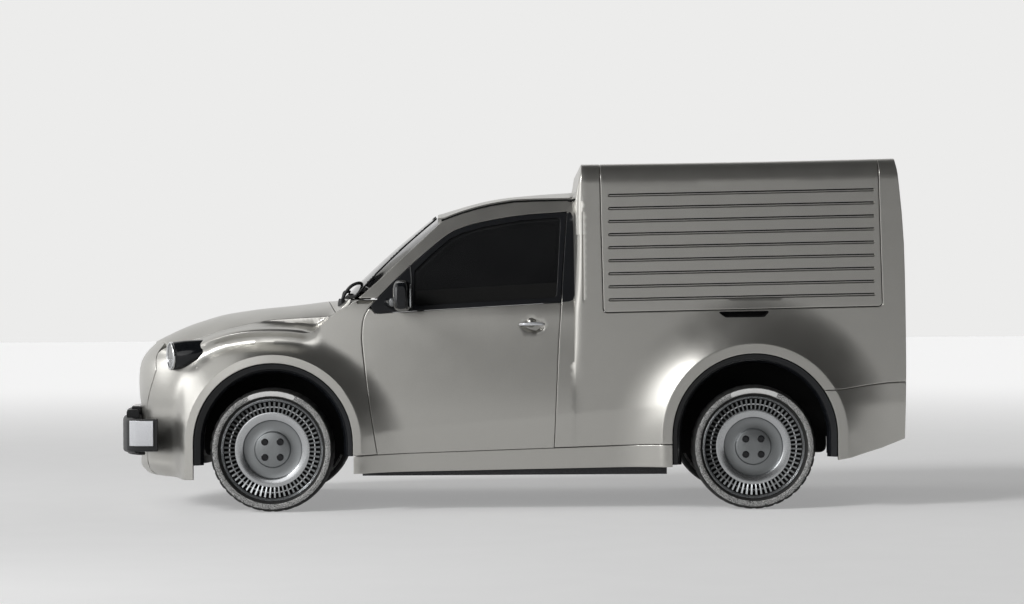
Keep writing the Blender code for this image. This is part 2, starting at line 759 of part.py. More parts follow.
def arch_inner(front, low, turn_end=180):
    """Arch opening from its front leg's foot, over the top, to an angle or its rear foot."""
    centre = (FRONT_ARCH_X, FRONT_ARCH_Z) if front else (REAR_X, REAR_ARCH_Z)
    radius = FRONT_ARCH_R if front else REAR_ARCH_R
    points = [(centre[0] - radius, low)] if low is not None else []
    points += arc(centre, radius, 180, 180 - turn_end, ARCH_SIDES)
    return points


def flare_lines():
    """Lines along the flare bands, so that their edges are sharp."""
    lines = []
    for x, z, r, band in ((FRONT_ARCH_X, FRONT_ARCH_Z, FRONT_ARCH_R, FLARE_BAND),
                          (REAR_X, REAR_ARCH_Z, REAR_ARCH_R, REAR_FLARE_BAND)):
        for out in (r + band, r + band + FLARE_RAMP / 3):
            lines.append([(x - out, 0), *arc((x, z), out, 180, 0, ARCH_SIDES), (x + out, 0)])
    return lines


FRONT_FLARE, FRONT_FLARE_OUT, REAR_FLARE, REAR_FLARE_OUT = flare_lines()
BOX_RISE = read(BOX_ROOF, along(1)) - read(BOX_ROOF, BOX_FRONT_X)
SEAM_V = read(BOX_ROOF, BOX_FRONT_X) - BOX_SHOULDER + BOX_SHOULDER * math.pi / 2 \
    + SIDE_HALF - BOX_LEAN - BOX_SHOULDER - ROOF_SEAM_SHARE * HALF_WIDTH
SHOULDER_LINES = [read(BOX_ROOF, BOX_FRONT_X) - BOX_SHOULDER * (1 - math.pi / 2 * k / SHOULDER_SIDES)
                  for k in range(SHOULDER_SIDES + 1)]


def hatch_outline():
    top = [(x, SEAM_V - LID_GAP) for x, _ in spots(HATCH_TOP_SHARES)]
    return spots(HATCH_SHARES + HATCH_TOP_SHARES[:1]) + top + spots(HATCH_TOP_SHARES[1:])


def body_side_outline():
    """Sill, rear arch, tail, box top with the hatch's notch, roof rail, pillar, door opening."""
    sill_front = FRONT_ARCH_X + FRONT_ARCH_R
    points = [(sill_front, up(SILL_SHARES[0][1]))]
    rise = up(BUMPER_SEAM_SHARES[0][1]) - REAR_ARCH_Z
    last = 180 - math.degrees(math.asin(rise / REAR_ARCH_R))
    points += arch_inner(False, up(SILL_SHARES[1][1]), last)
    seam_x = points[-1][0]
    points[-1] = (seam_x, read(spots(BUMPER_SEAM_SHARES), seam_x) + SEAT_GAP)
    seam_end = up(BUMPER_SEAM_SHARES[1][1])
    points.append((read(TAIL, seam_end), seam_end + SEAT_GAP))
    points += [(x, z) for z, x in TAIL if seam_end < z < up(HATCH_TOP_SHARES[0][1])]
    points.append((read(TAIL, HEIGHT), SEAM_V))
    opening = grown(hatch_outline(), LID_GAP)
    points += [(opening[4][0], SEAM_V), *reversed(opening[:5]), opening[6], (opening[5][0], SEAM_V)]
    points += [(BOX_FRONT_X, SEAM_V), (BOX_FRONT_X, RAIL[-1][1])]
    points += [p for p in reversed(RAIL[:-1])]
    points += list(reversed(spots(PILLAR_SHARES)))
    hole = grown(door_outline(), SHUT_GAP)
    pillar_z = up(PILLAR_SHARES[0][1])
    first = len(DOOR_FRONT_SHARES)
    points.append((opening_x(hole, pillar_z), pillar_z))
    points += hole[first:]
    points += [hole[0], (sill_front, hole[0][1])]
    return points


def opening_x(hole, z):
    """X where the door opening's front edge passes a height beside the pillar's foot."""
    low = hole[len(DOOR_FRONT_SHARES) - 1]
    high = hole[len(DOOR_FRONT_SHARES)]
    return low[0] + (high[0] - low[0]) * (z - low[1]) / (high[1] - low[1])


def wing_outline():
    """Front wing: nose edge, foot, arch, sill seam, door edge, pillar seam, crest and band."""
    front = [(nose_x(read(NOSE_SIDE, z) + PANEL_SEAM, z) + PANEL_SEAM, z) for z in NOSE_LEVELS]
    band_x = front[-1][0] + 2 * LID_GAP
    points = [front[0]]
    foot = FRONT_ARCH_X - FRONT_ARCH_R
    points.append((foot, front[0][1]))
    points += arch_inner(True, None)
    hole = grown(door_outline(), SHUT_GAP)
    seam_z = hole[0][1] + SEAT_GAP
    points.append((points[-1][0], seam_z))
    points.append((hole[0][0], seam_z))
    points += hole[1:len(DOOR_FRONT_SHARES)]
    pillar_z = up(PILLAR_SHARES[0][1]) - SEAT_GAP
    points.append((opening_x(hole, pillar_z), pillar_z))
    points.append((along(PILLAR_SHARES[0][0]), pillar_z))
    for x, z in reversed(CREST[2:-2]):
        points.append((x, band_top(x)))
    points.append((band_x, band_top(band_x)))
    points += list(reversed(front[1:]))
    return points


def band_top(x):
    return read(CREST, x) + band_height(x)


# Sub-parts: body panels

def body_sides():
    for word, side in SIDES:
        def place(x, v, depth, side=side):
            if x < BOX_FRONT_X - CAB_REAR_STEP:
                return on_side(side)(x, v, depth)
            return on_box(side)(x, v, depth)
        panel("body_side_" + word, body_side_outline(), place, SIDE_WALL, PAINT, PANEL_CELLS,
              lines=[REAR_FLARE, REAR_FLARE_OUT, CREASE], at_v=SHOULDER_LINES,
              at_u=[BOX_FRONT_X - CAB_REAR_STEP, BOX_FRONT_X])


def wings(pods):
    for (word, side), pod in zip(SIDES, pods):
        wing = panel("wing_" + word, wing_outline(), on_wing(side), WING_WALL, PAINT,
                     (WING_CELL, HEIGHT), lines=[FRONT_FLARE, FRONT_FLARE_OUT, CREST],
                     at_v=NOSE_LEVELS[1:-1])
        combine(wing, [pod], "DIFFERENCE")


def nose_panel(pods):
    """The nose between the wings, its top edge under the bonnet's front lip."""
    right = [(read(NOSE_SIDE, z), z) for z in NOSE_LEVELS]
    left = [(-y, z) for y, z in right]
    half = NOSE_SIDE[-1][1]
    top = [(half * t, bonnet_lip(half * t) - LID_GAP) for t in LIP_SHARES[1:-1]]
    nose = panel("nose_panel", left + top + right[::-1], on_nose, NOSE_WALL, PAINT,
                 (WIDTH, HEIGHT), at_u=[half * t for t in LIP_SHARES[1:-1]], at_v=NOSE_LEVELS[1:-1])
    combine(nose, pods, "DIFFERENCE")


def bonnet_lip(y):
    """Height of the underside of the bonnet's front edge."""
    x = nose_x(y, NOSE_SIDE[-1][0])
    return bonnet_z(x, y) - BONNET_WALL


def bonnet_front(y):
    return nose_x(y, bonnet_lip(y))


def bonnet_rear(y):
    return screen_foot(y) - SCUTTLE_DEPTH


def bonnet_outline(rear_room=0.0):
    low = BONNET_CORNER
    front = [(bonnet_front(low * t), low * t) for t in reversed(LIP_SHARES)]
    edge_right = [(x, y) for x, y in BONNET_EDGE if front[0][0] < x < bonnet_rear(y)]
    last = edge_right[-1][1]
    rear = [(bonnet_rear(last * t) - rear_room, last * t) for t in LIP_SHARES]
    left = [(x, -y) for x, y in edge_right[:-1]]
    right = [(x, y) for x, y in reversed(edge_right[:-1])]
    return front + left + rear + right


def bonnet_panel(name, lift):
    return panel(name, bonnet_outline(LID_GAP), on_bonnet, BONNET_WALL, PAINT,
                 (CELL_X, CELL_ACROSS / 2), lift=lift)


def bonnet(pods):
    lid = bonnet_panel("bonnet", 0)
    combine(lid, pods, "DIFFERENCE")
    axis_x, axis_level = HOOD_AXIS_SHARES
    hang(lid, pivot("bonnet_axis", (along(axis_x), 0, up(axis_level))))


def cab_roof():
    corner = rail_half(RAIL[0][0])
    front = [(screen_head(y) + PANEL_SEAM, y) for y in (-corner, *SCREEN_LINES, corner)]
    rear_x = BOX_FRONT_X - BOX_FRONT_DEPTH - SEAT_GAP
    stations = [x for x, _ in RAIL[1:-1]] + [rear_x]
    right = [(x, rail_half(x)) for x in stations]
    left = [(x, -rail_half(x)) for x in reversed(stations)]
    panel("cab_roof", front + right + left, on_cab_roof, ROOF_WALL, PAINT, (CELL_X, WIDTH),
          at_v=SCREEN_LINES)


def windscreen():
    """Glass from the scuttle to the roof, between the pillars' inner faces."""
    edge = []
    for share in steps(0, 1, SCREEN_CELL_SHARE):
        x, _, z = on_screen(share, SCREEN_LINE_SHARE * SIDE_HALF, 0)
        edge.append((share, skin(x, z) - SIDE_WALL - SEAT_GAP))
    outline = [(s, -y) for s, y in edge] + [(s, y) for s, y in reversed(edge)]
    panel("windscreen", outline, on_screen, GLASS_WALL, GLASS, (SCREEN_CELL_SHARE, WIDTH),
          at_v=SCREEN_LINES)


def box_roof():
    half = ROOF_SEAM_SHARE * HALF_WIDTH - SEAT_GAP
    rear = read(TAIL, HEIGHT)
    outline = [(BOX_FRONT_X, -half), (rear, -half), (rear, half), (BOX_FRONT_X, half)]
    roof = panel("box_roof", outline,
                 lambda x, y, depth: (x, y, read(BOX_ROOF, x) - depth),
                 BOX_ROOF_WALL, PAINT, (2 * CELL_X, 2 * CELL_ACROSS))
    leaves = []
    for word, side in SIDES:
        for share in HATCH_LEAF_SHARES:
            x = along(HATCH_SHARES[0][0]) * (1 - share) + along(HATCH_SHARES[3][0]) * share
            z = read(BOX_ROOF, x) - SIDE_WALL - LEAF_GAP
            a, b = sorted((side * (half - HATCH_LEAF), side * (half + HATCH_LEAF)))
            leaves.append(block(f"hatch_leaf_{word}_{share}", (x - HATCH_LEAF, a, z - LEAF_WALL),
                                (x + HATCH_LEAF, b, z), STEEL))
            a, b = sorted((side * (half - HATCH_LEAF), side * (half - HATCH_LEAF / 4)))
            leaves.append(block(f"hatch_post_{word}_{share}", (x - HATCH_LEAF, a, z - LEAF_WALL),
                                (x + HATCH_LEAF, b, read(BOX_ROOF, x) - BOX_ROOF_WALL / 2), STEEL))
    combine(roof, leaves, "UNION")


def side_hatches():
    rear_y = ROOF_SEAM_SHARE * HALF_WIDTH
    for word, side in SIDES:
        lid = panel("side_hatch_" + word, hatch_outline(), on_box(side), SIDE_WALL, PAINT,
                    (HATCH_CELL, 2 * CELL_UP), at_v=SHOULDER_LINES)
        grooves = []
        left = along(HATCH_SHARES[1][0])
        right = along(HATCH_SHARES[2][0])
        groove_low, groove_high = (up(s) for s in GROOVE_LEVEL_SHARES)
        for row in range(GROOVE_COUNT):
            share = row / (GROOVE_COUNT - 1)
            z_left = groove_low + (groove_high - groove_low) * share
            z_right = z_left + GROOVE_RAKE
            y = SIDE_HALF - BOX_LEAN - GROOVE_DEPTH
            outline = [(left + GROOVE_INSET, z_left), (right - GROOVE_INSET, z_right),
                       (right - GROOVE_INSET, z_right + GROOVE_WIDTH),
                       (left + GROOVE_INSET, z_left + GROOVE_WIDTH)]
            low, high = sorted((side * y, side * (y + SIDE_WALL)))
            grooves.append(prism(f"groove_{word}_{row}", outline, "xz", low, high, PAINT))
        combine(lid, grooves, "DIFFERENCE")
        axis = pivot("hatch_axis_" + word, (0, side * (rear_y - LID_GAP / 2),
                                            read(BOX_ROOF, REAR_X)))
        hang(lid, axis)


def doors():
    """Doors with the window cut, their glass, handles and mirrors."""
    hinge_x = min(x for x, _ in door_outline()) - SHUT_GAP / 2
    window = grown(window_outline(), -WINDOW_FRAME)
    for word, side in SIDES:
        axis = pivot("door_axis_" + word, (hinge_x, side * SIDE_HALF, up(WAIST_SHARE)))
        door = panel("door_" + word, door_outline(), on_side(side), SIDE_WALL, PAINT, PANEL_CELLS,
                     holes=[window], lines=[CREASE])
        handle_x = along(HANDLE_SHARES[0])
        handle_z = up(HANDLE_SHARES[1])
        face = skin(handle_x, handle_z)
        low, high = sorted((side * (face - SIDE_WALL / 2), side * (face + HANDLE_STAND)))
        bar = block("handle_" + word, (handle_x - HANDLE_LENGTH / 2, low, handle_z - HANDLE_HEIGHT / 2),
                    (handle_x + HANDLE_LENGTH / 2, high, handle_z + HANDLE_HEIGHT / 2), PAINT)
        combine(door, [bar], "UNION")
        hang(door, axis)
        glass = panel("door_glass_" + word, grown(window, -SEAT_GAP),
                      lambda x, z, d, side=side: on_side(side)(x, z, d + SIDE_WALL / 2),
                      GLASS_WALL, GLASS, PANEL_CELLS)
        hang(glass, axis)
        room = panel("mirror_room_" + word, door_outline(), on_side(side), SIDE_WALL, PAINT,
                     PANEL_CELLS, lines=[CREASE, window + window[:1]], lift=SEAT_GAP)
        hang(mirror(word, side, room), axis)


def mirror(word, side, room):
    """A mirror head on a stalk that stands on the door skin, cut to fit it by its room."""
    x, z = along(MIRROR_SHARES[0]), up(MIRROR_SHARES[1])
    foot_x, foot_z = along(MIRROR_FOOT_SHARES[0]), up(MIRROR_FOOT_SHARES[1])
    base = skin(foot_x, foot_z) - SIDE_WALL / 2
    inner = base + SIDE_WALL / 2 + MIRROR_STALK
    outline = [(x + MIRROR_DEPTH * s, z + MIRROR_HALF_HEIGHT * h) for s, h in MIRROR_HEAD_SHARES]
    low, high = sorted((side * inner, side * (inner + MIRROR_REACH)))
    head = prism("mirror_" + word, outline, "xz", low, high, GLOSS)
    low, high = sorted((side * base, side * (inner + MIRROR_REACH / 4)))
    stalk = prism("mirror_stalk_" + word,
                  [(foot_x - MIRROR_DEPTH / 4, foot_z - MIRROR_DEPTH / 6),
                   (x, foot_z - MIRROR_DEPTH / 6),
                   (x, foot_z + MIRROR_DEPTH / 4),
                   (foot_x - MIRROR_DEPTH / 4, foot_z + MIRROR_DEPTH / 4)],
                  "xz", low, high, GLOSS)
    combine(head, [stalk], "UNION")
    return combine(head, [room], "DIFFERENCE")


# Rear end

def rear_inner():
    share, level_share = REAR_INNER_SHARES
    return skin(along(share), up(level_share)) - SIDE_WALL - SEAT_GAP


def rect(half_low, half_high, low, high):
    return [(half_low, low), (half_high, low), (half_high, high), (half_low, high)]


def rear_end():
    half = rear_inner()
    opening = half - FRAME_POST
    low = up(FRAME_SILL_SHARE)
    high = read(BOX_ROOF, BOX_FRONT_X) - SIDE_WALL - SEAT_GAP + BOX_RISE
    door_low = up(DOOR_SILL_SHARE)
    door_high = up(DOOR_HEAD_SHARE)
    lamp_low, lamp_high = (up(s) for s in LAMP_LEVEL_SHARES)
    lamps = []
    for word, side in SIDES:
        a, b = sorted((side * (opening + LAMP_MARGIN), side * (half - LAMP_MARGIN)))
        lamps.append(rect(a, b, lamp_low, lamp_high))
        panel("tail_lamp_" + word, grown(lamps[-1], -SEAT_GAP), on_tail, REAR_WALL / 2, LAMP_RED,
              (WIDTH, CELL_UP))
        hinge_y = side * (opening - LID_GAP / 2)
        a, b = sorted((side * LID_GAP / 2, side * (opening - LID_GAP)))
        door = panel("rear_door_" + word, rect(a, b, door_low + LID_GAP, door_high - LID_GAP),
                     on_tail, REAR_WALL, PAINT, (WIDTH, CELL_UP), at_v=[z for z, _ in TAIL])
        hang(door, pivot("rear_axis_" + word, (max(x for _, x in TAIL), hinge_y, door_low)))
    corner = BOX_SHOULDER
    right = [(half, low), (half, high - corner), (half - corner / 3, high - corner / 3),
             (half - corner, high)]
    left = [(-y, z) for y, z in reversed(right)]
    frame = panel("rear_frame", right + left, on_tail, REAR_WALL, PAINT, (WIDTH, CELL_UP),
                  holes=[rect(-opening, opening, door_low, door_high)] + lamps,
                  at_v=[z for z, _ in TAIL])
    leaves = []
    for word, side in SIDES:
        for share in REAR_LEAF_SHARES:
            z = door_low + (door_high - door_low) * share
            tail = min(read(TAIL, z - REAR_LEAF), read(TAIL, z + REAR_LEAF))
            x = tail - REAR_WALL - LEAF_GAP
            a, b = sorted((side * (opening + LID_GAP), side * (opening - REAR_LEAF)))
            leaves.append(block(f"rear_leaf_{word}_{share}", (x - LEAF_WALL, a, z - REAR_LEAF / 2),
                                (x, b, z + REAR_LEAF / 2), STEEL))
            a, b = sorted((side * (opening + LID_GAP / 2), side * (opening + REAR_LEAF / 2)))
            leaves.append(block(f"rear_leaf_foot_{word}_{share}",
                                (x - LEAF_WALL, a, z - REAR_LEAF / 2),
                                (x + REAR_WALL / 2, b, z + REAR_LEAF / 2), STEEL))
    combine(frame, leaves, "UNION")


def rear_bumper():
    """Cheeks that carry the lower ends of the rear flares, and the wall between them."""
    seam = spots(BUMPER_SEAM_SHARES)
    foot = spots(BUMPER_FOOT_SHARES)
    top_z = seam[1][1]
    rise = read(seam, REAR_X + REAR_ARCH_R) - REAR_ARCH_Z
    first = math.degrees(math.asin(rise / REAR_ARCH_R))
    arch = arc((REAR_X, REAR_ARCH_Z), REAR_ARCH_R, first, 0, 4)
    arch[0] = (arch[0][0], read(seam, arch[0][0]))
    arch.append((REAR_X + REAR_ARCH_R, foot[-1][1]))
    outline = arch + list(reversed(foot[:-1]))
    outline += [(x, z) for z, x in TAIL if foot[0][1] < z < top_z]
    outline.append((read(TAIL, top_z), top_z))
    cheeks = [panel("bumper_cheek_" + word, outline, on_side(side), BUMPER_WALL, PAINT, PANEL_CELLS,
                    lines=[REAR_FLARE, REAR_FLARE_OUT]) for word, side in SIDES]
    half = SIDE_HALF - BUMPER_WALL / 2
    low = foot[0][1]
    high = read(seam, along(REAR_INNER_SHARES[0])) - SEAT_GAP
    wall = panel("rear_bumper", rect(-half, half, low, high),
                 lambda y, z, d: on_tail(y, z, d + BUMPER_INSET), BUMPER_WALL, PAINT,
                 (2 * CELL_ACROSS, CELL_UP))
    combine(wall, cheeks, "UNION")


def bulkhead():
    """The box's front wall: a cap above the cab roof and a partition down to the floor."""
    roof = read(BOX_ROOF, BOX_FRONT_X)
    half = SIDE_HALF - BOX_LEAN
    low = RAIL[-1][1] + SEAT_GAP
    right = [(half, low)] + arc((half - BOX_SHOULDER, roof - BOX_SHOULDER), BOX_SHOULDER, 0, 90,
                                CORNER_SIDES)
    left = [(-y, z) for y, z in reversed(right)]
    cap = prism("bulkhead", right + left, "yz", BOX_FRONT_X - BOX_FRONT_DEPTH,
                BOX_FRONT_X - SEAT_GAP, PAINT)
    wall_half = half - SIDE_WALL - 3 * SEAT_GAP
    x = BOX_FRONT_X + SEAT_GAP
    wall = block("partition", (x, -wall_half, CARGO_FLOOR_Z + SEAT_GAP),
                 (x + BULKHEAD_WALL, wall_half, roof - BOX_SHOULDER), PAINT)
    plug = block("partition_plug", (x - BOX_FRONT_DEPTH / 2, -wall_half * PLUG_SHARE, low + OVERRUN),
                 (x + BULKHEAD_WALL / 2, wall_half * PLUG_SHARE, roof - SIDE_WALL - OVERRUN), PAINT)
    combine(cap, [plug, wall], "UNION")


# Underbody

def floor_pan():
    half = SIDE_HALF - SILL_TUCK - SIDE_WALL - 4 * SEAT_GAP
    front = FIREWALL_X + FIREWALL_WALL + SEAT_GAP
    rear = read(TAIL, CARGO_FLOOR_Z) - BUMPER_WALL - 3 * BUMPER_INSET - SIDE_WALL / 4
    step = BOX_FRONT_X - FLOOR_WALL
    cab_low = CAB_FLOOR_Z - FLOOR_WALL
    cargo_low = CARGO_FLOOR_Z - FLOOR_WALL
    outline = [(front, cab_low), (BOX_FRONT_X, cab_low), (BOX_FRONT_X, cargo_low), (rear, cargo_low),
               (rear, CARGO_FLOOR_Z), (step, CARGO_FLOOR_Z), (step, CAB_FLOOR_Z), (front, CAB_FLOOR_Z)]
    pan = prism("floor_pan", outline, "xz", -half, half, STEEL)
    notches = []
    rails = []
    arch = REAR_ARCH_R + SEAT_GAP
    for word, side in SIDES:
        a, b = sorted((side * (HALF_WIDTH - LINER_REACH - 2 * SEAT_GAP), side * (half + OVERRUN)))
        notches.append(block("arch_notch_" + word, (REAR_X - arch, a, cab_low - OVERRUN),
                             (REAR_X + arch, b, CARGO_FLOOR_Z + OVERRUN), STEEL))
        a, b = sorted((side * (half - SIDE_RAIL), side * half))
        rails.append(block("side_rail_" + word, (front, a, up(RAIL_FOOT_SHARE)),
                           (REAR_X - arch - OVERRUN, b, cab_low + FLOOR_WALL / 2), STEEL))
        a, b = sorted((side * (half - SIDE_RAIL), side * half))
        rails.append(block("side_rail_web_" + word, (BOX_FRONT_X - OVERRUN, a, cab_low),
                           (REAR_X - arch - OVERRUN, b, cargo_low + FLOOR_WALL / 2), STEEL))
        a, b = sorted((side * ARM_Y, side * (ARM_Y + SIDE_RAIL)))
        rails.append(block("rear_rail_" + word, (BOX_FRONT_X - OVERRUN, a, cargo_low - REAR_RAIL),
                           (rear - OVERRUN, b, cargo_low + FLOOR_WALL / 2), STEEL))
    combine(pan, notches, "DIFFERENCE")
    combine(pan, rails, "UNION")


def front_structure():
    """Firewall with the hinge pillars, the two front rails and the radiator support."""
    half = SIDE_HALF - 2 * SIDE_WALL + SEAT_GAP * 2
    front_rail_top = FRONT_RAIL_Z + FRONT_RAIL
    wall_top = up(FIREWALL_TOP_SHARE)
    wall = block("front_structure", (FIREWALL_X, -half, CAB_FLOOR_Z - FLOOR_WALL),
                 (FIREWALL_X + FIREWALL_WALL, half, wall_top), STEEL)
    parts = [block("radiator_support", (SUPPORT_X, -FRONT_RAIL_Y - FRONT_RAIL, FRONT_RAIL_Z - OVERRUN),
                   (SUPPORT_X + FIREWALL_WALL, FRONT_RAIL_Y + FRONT_RAIL, up(SUPPORT_SHARES[1])),
                   STEEL)]
    hinge_x = min(x for x, _ in door_outline()) - SHUT_GAP / 2
    for word, side in SIDES:
        a, b = sorted((side * FRONT_RAIL_Y, side * (FRONT_RAIL_Y + FRONT_RAIL)))
        parts.append(block("front_rail_" + word, (SUPPORT_X + FIREWALL_WALL / 2, a, FRONT_RAIL_Z),
                           (FIREWALL_X + FIREWALL_WALL / 2, b, front_rail_top), STEEL))
        a, b = sorted((side * (half - HINGE_PILLAR), side * half))
        parts.append(block("hinge_pillar_" + word, (FIREWALL_X, a, CAB_FLOOR_Z + OVERRUN),
                           (FIREWALL_X + FIREWALL_WALL + HINGE_PILLAR, b, wall_top - OVERRUN), STEEL))
        for share in DOOR_LEAF_LEVEL_SHARES:
            z = up(share)
            leaf_x = hinge_x + DOOR_LEAF
            face = min(skin(leaf_x, z), skin(leaf_x + DOOR_LEAF, z), SIDE_HALF) - SIDE_WALL - LEAF_GAP
            a, b = sorted((side * (half - HINGE_PILLAR / 2), side * face))
            parts.append(block(f"door_leaf_{word}_{share}", (leaf_x, a, z - DOOR_LEAF / 2),
                               (leaf_x + DOOR_LEAF, b, z + DOOR_LEAF / 2), STEEL))
        leaf_x = along(BONNET_LEAF_SHARES[0])
        leaf_y = BONNET_LEAF_SHARES[1] * HALF_WIDTH
        leaf_z = bonnet_z(leaf_x, leaf_y) - BONNET_WALL + BONNET_LEAF_BITE
        arm_z = leaf_z - BONNET_ARM_DROP
        a, b = sorted((side * leaf_y, side * (leaf_y + BONNET_LEAF)))
        parts.append(block("bonnet_arm_" + word, (leaf_x - BONNET_LEAF, a, arm_z - BONNET_ARM),
                           (FIREWALL_X + FIREWALL_WALL / 2, b, arm_z), STEEL))
        parts.append(block("bonnet_leaf_" + word, (leaf_x - BONNET_LEAF, a, arm_z - BONNET_ARM / 2),
                           (leaf_x, b, leaf_z), STEEL))
    combine(wall, parts, "UNION")
    combine(wall, [bonnet_panel("bonnet_room", SEAT_GAP)], "DIFFERENCE")


def scuttle():
    """Cowl between bonnet and windscreen."""
    half = BONNET_EDGE[-3][1] * SCUTTLE_SHARE
    across = [-half, *SCREEN_LINES, half]
    front = [(bonnet_rear(y), y) for y in across]
    rear = [(screen_foot(y) - PANEL_SEAM, y) for y in reversed(across)]

    def place(x, y, depth):
        low = bonnet_z(bonnet_rear(y), y) - depth
        high = up(SCREEN_FOOT_LEVEL_SHARE) - depth
        share = (x - bonnet_rear(y)) / SCUTTLE_DEPTH
        return x, y, low + (high - low) * share
    panel("scuttle", front + rear, place, SCUTTLE_WALL, BLACK, (WIDTH, WIDTH), at_v=SCREEN_LINES)


def front_bumper():
    """A curved bar across the nose."""
    half = BUMPER_HALF_SHARE * HALF_WIDTH
    ys = [half * (2 * i / BUMPER_SIDES - 1) for i in range(BUMPER_SIDES + 1)]
    tip = FRONT_X - FRONT_OVERHANG
    end_x = SUPPORT_X - SEAT_GAP - BUMPER_END_ROOM
    low, high = (up(s) for s in BUMPER_LEVEL_SHARES)
    levels = (low, up(BUMPER_NOSE_SHARE), high)
    front = [(tip + BUMPER_BOW * (y / half) ** 2, y) for y in ys]
    back = [(min(end_x, min(nose_x(y, z) for z in levels) - BUMPER_STAND), y) for y in ys]
    prism("front_bumper", front + back[::-1], "xy", low, high, BLACK)


def pod(name, side, room, finish_material):
    """Bullet headlamp: a round front that rises and narrows to the rear."""
    front_x = along(LAMP_STATION_SHARES[0])
    rear_x = along(LAMP_STATION_SHARES[1])
    centre_y = side * LAMP_Y_SHARE * HALF_WIDTH
    top = up(LAMP_TOP_SHARE)
    data = bmesh.new()
    rings = []
    for share, size in LAMP_SECTION_SHARES:
        radius = LAMP_RADIUS * size + room
        x = front_x + (rear_x - front_x) * share
        if share in (0, 1):
            x += (2 * share - 1) * room
        z = top - LAMP_RADIUS * size
        rings.append([data.verts.new((x, centre_y + radius * math.cos(2 * math.pi * k / LAMP_SIDES),
                                      z + radius * math.sin(2 * math.pi * k / LAMP_SIDES)))
                      for k in range(LAMP_SIDES)])
    for one, two in zip(rings, rings[1:]):
        for k in range(LAMP_SIDES):
            n = (k + 1) % LAMP_SIDES
            data.faces.new([one[k], one[n], two[n], two[k]])
    data.faces.new(rings[0])
    data.faces.new(rings[-1][::-1])
    return finish(name, data, finish_material, True)


def headlamps():
    """Both lamps, and the guides that cut their room in the panels around them."""
    tight = []
    loose = []
    for word, side in SIDES:
        pod("headlamp_" + word, side, 0, GLOSS)
        tight.append(pod("lamp_room_" + word, side, SEAT_GAP, GLOSS))
        loose.append(pod("lamp_bonnet_room_" + word, side, LID_GAP, GLOSS))
    return tight, loose


# Arch liners

def arch_liners():
    """An L section swept round each arch: the liner and the black lip at its outer edge."""
    face = HALF_WIDTH - FLARE_TURN - LIP_STAND
    for end, arch_x, arch_z, arch_r, feet in (
            ("front", FRONT_ARCH_X, FRONT_ARCH_Z, FRONT_ARCH_R, LINER_FOOT_SHARES[0]),
            ("rear", REAR_X, REAR_ARCH_Z, REAR_ARCH_R, LINER_FOOT_SHARES[1])):
        outer = arch_r - 2 * SEAT_GAP
        section = [(outer, LINER_BACK), (outer, face), (outer - LIP_WIDTH, face),
                   (outer - LIP_WIDTH, face - LIP_DEPTH), (outer - LINER_WALL, face - LIP_DEPTH),
                   (outer - LINER_WALL, LINER_BACK)]
        for word, side in SIDES:
            data = bmesh.new()
            rings = []
            for radius, across in section:
                path = [(arch_x - radius, up(feet[0])), *arc((arch_x, arch_z), radius, 180, 0, ARCH_SIDES),
                        (arch_x + radius, up(feet[1]))]
                rings.append([data.verts.new((x, side * across, z)) for x, z in path])
            for one, two in zip(rings, rings[1:] + rings[:1]):
                for k in range(len(one) - 1):
                    data.faces.new([one[k], one[k + 1], two[k + 1], two[k]])
            data.faces.new([ring[0] for ring in rings])
            data.faces.new([ring[-1] for ring in rings])
            finish(f"arch_liner_{end}_{word}", data, BLACK, True)


# Chassis

def wheel(end, word, side, x):
    """A disc wheel and its tyre, placed on the wheel's axis."""
    rim = turned(f"rim_{end}_{word}", [(r, side * a) for r, a in rim_profile()], WHEEL_SIDES, ALLOY)
    tyre = turned(f"tyre_{end}_{word}", tyre_profile(), WHEEL_SIDES, RUBBER)
    for piece in (rim, tyre):
        piece.location = (x, side * TRACK_HALF, TYRE_RADIUS)
    return rim, tyre


def rim_profile():
    """Points of (radius, across) from the hub's face, over the rim, to the hub's back."""
    hub = RIM_RADIUS * HUB_SHARE
    dish = RIM_RADIUS * DISH_SHARE
    inner = RIM_RADIUS - RIM_WALL
    return [(0, DISC_OUT), (hub, DISC_OUT), (hub + DISH_DEPTH, DISC_OUT - DISH_DEPTH),
            (dish, DISC_OUT - DISH_DEPTH), (dish + LINER_WALL / 4, DISC_OUT),
            (RIM_RADIUS * RING_SHARE, DISC_OUT + DISH_DEPTH / 4),
            (RIM_RADIUS * LOUVRE_SHARE, DISC_OUT + DISH_DEPTH), (RIM_RADIUS - RIM_WALL / 2, RIM_OUT),
            (RIM_RADIUS, RIM_OUT), (RIM_RADIUS, -RIM_OUT), (inner, -RIM_OUT), (inner, 0),
            (dish, -DISH_DEPTH / 2), (hub, -HUB_BACK / 2), (RIM_RADIUS * HUB_SEAT_SHARE, -HUB_BACK),
            (0, -HUB_BACK)]


def tyre_profile():
    half = TYRE_WIDTH / 2
    bead = RIM_RADIUS + SEAT_GAP
    right = [(bead + (TYRE_RADIUS - bead) * s, half * w) for s, w in TYRE_SHARES]
    return right + [(r, -a) for r, a in reversed(right)]


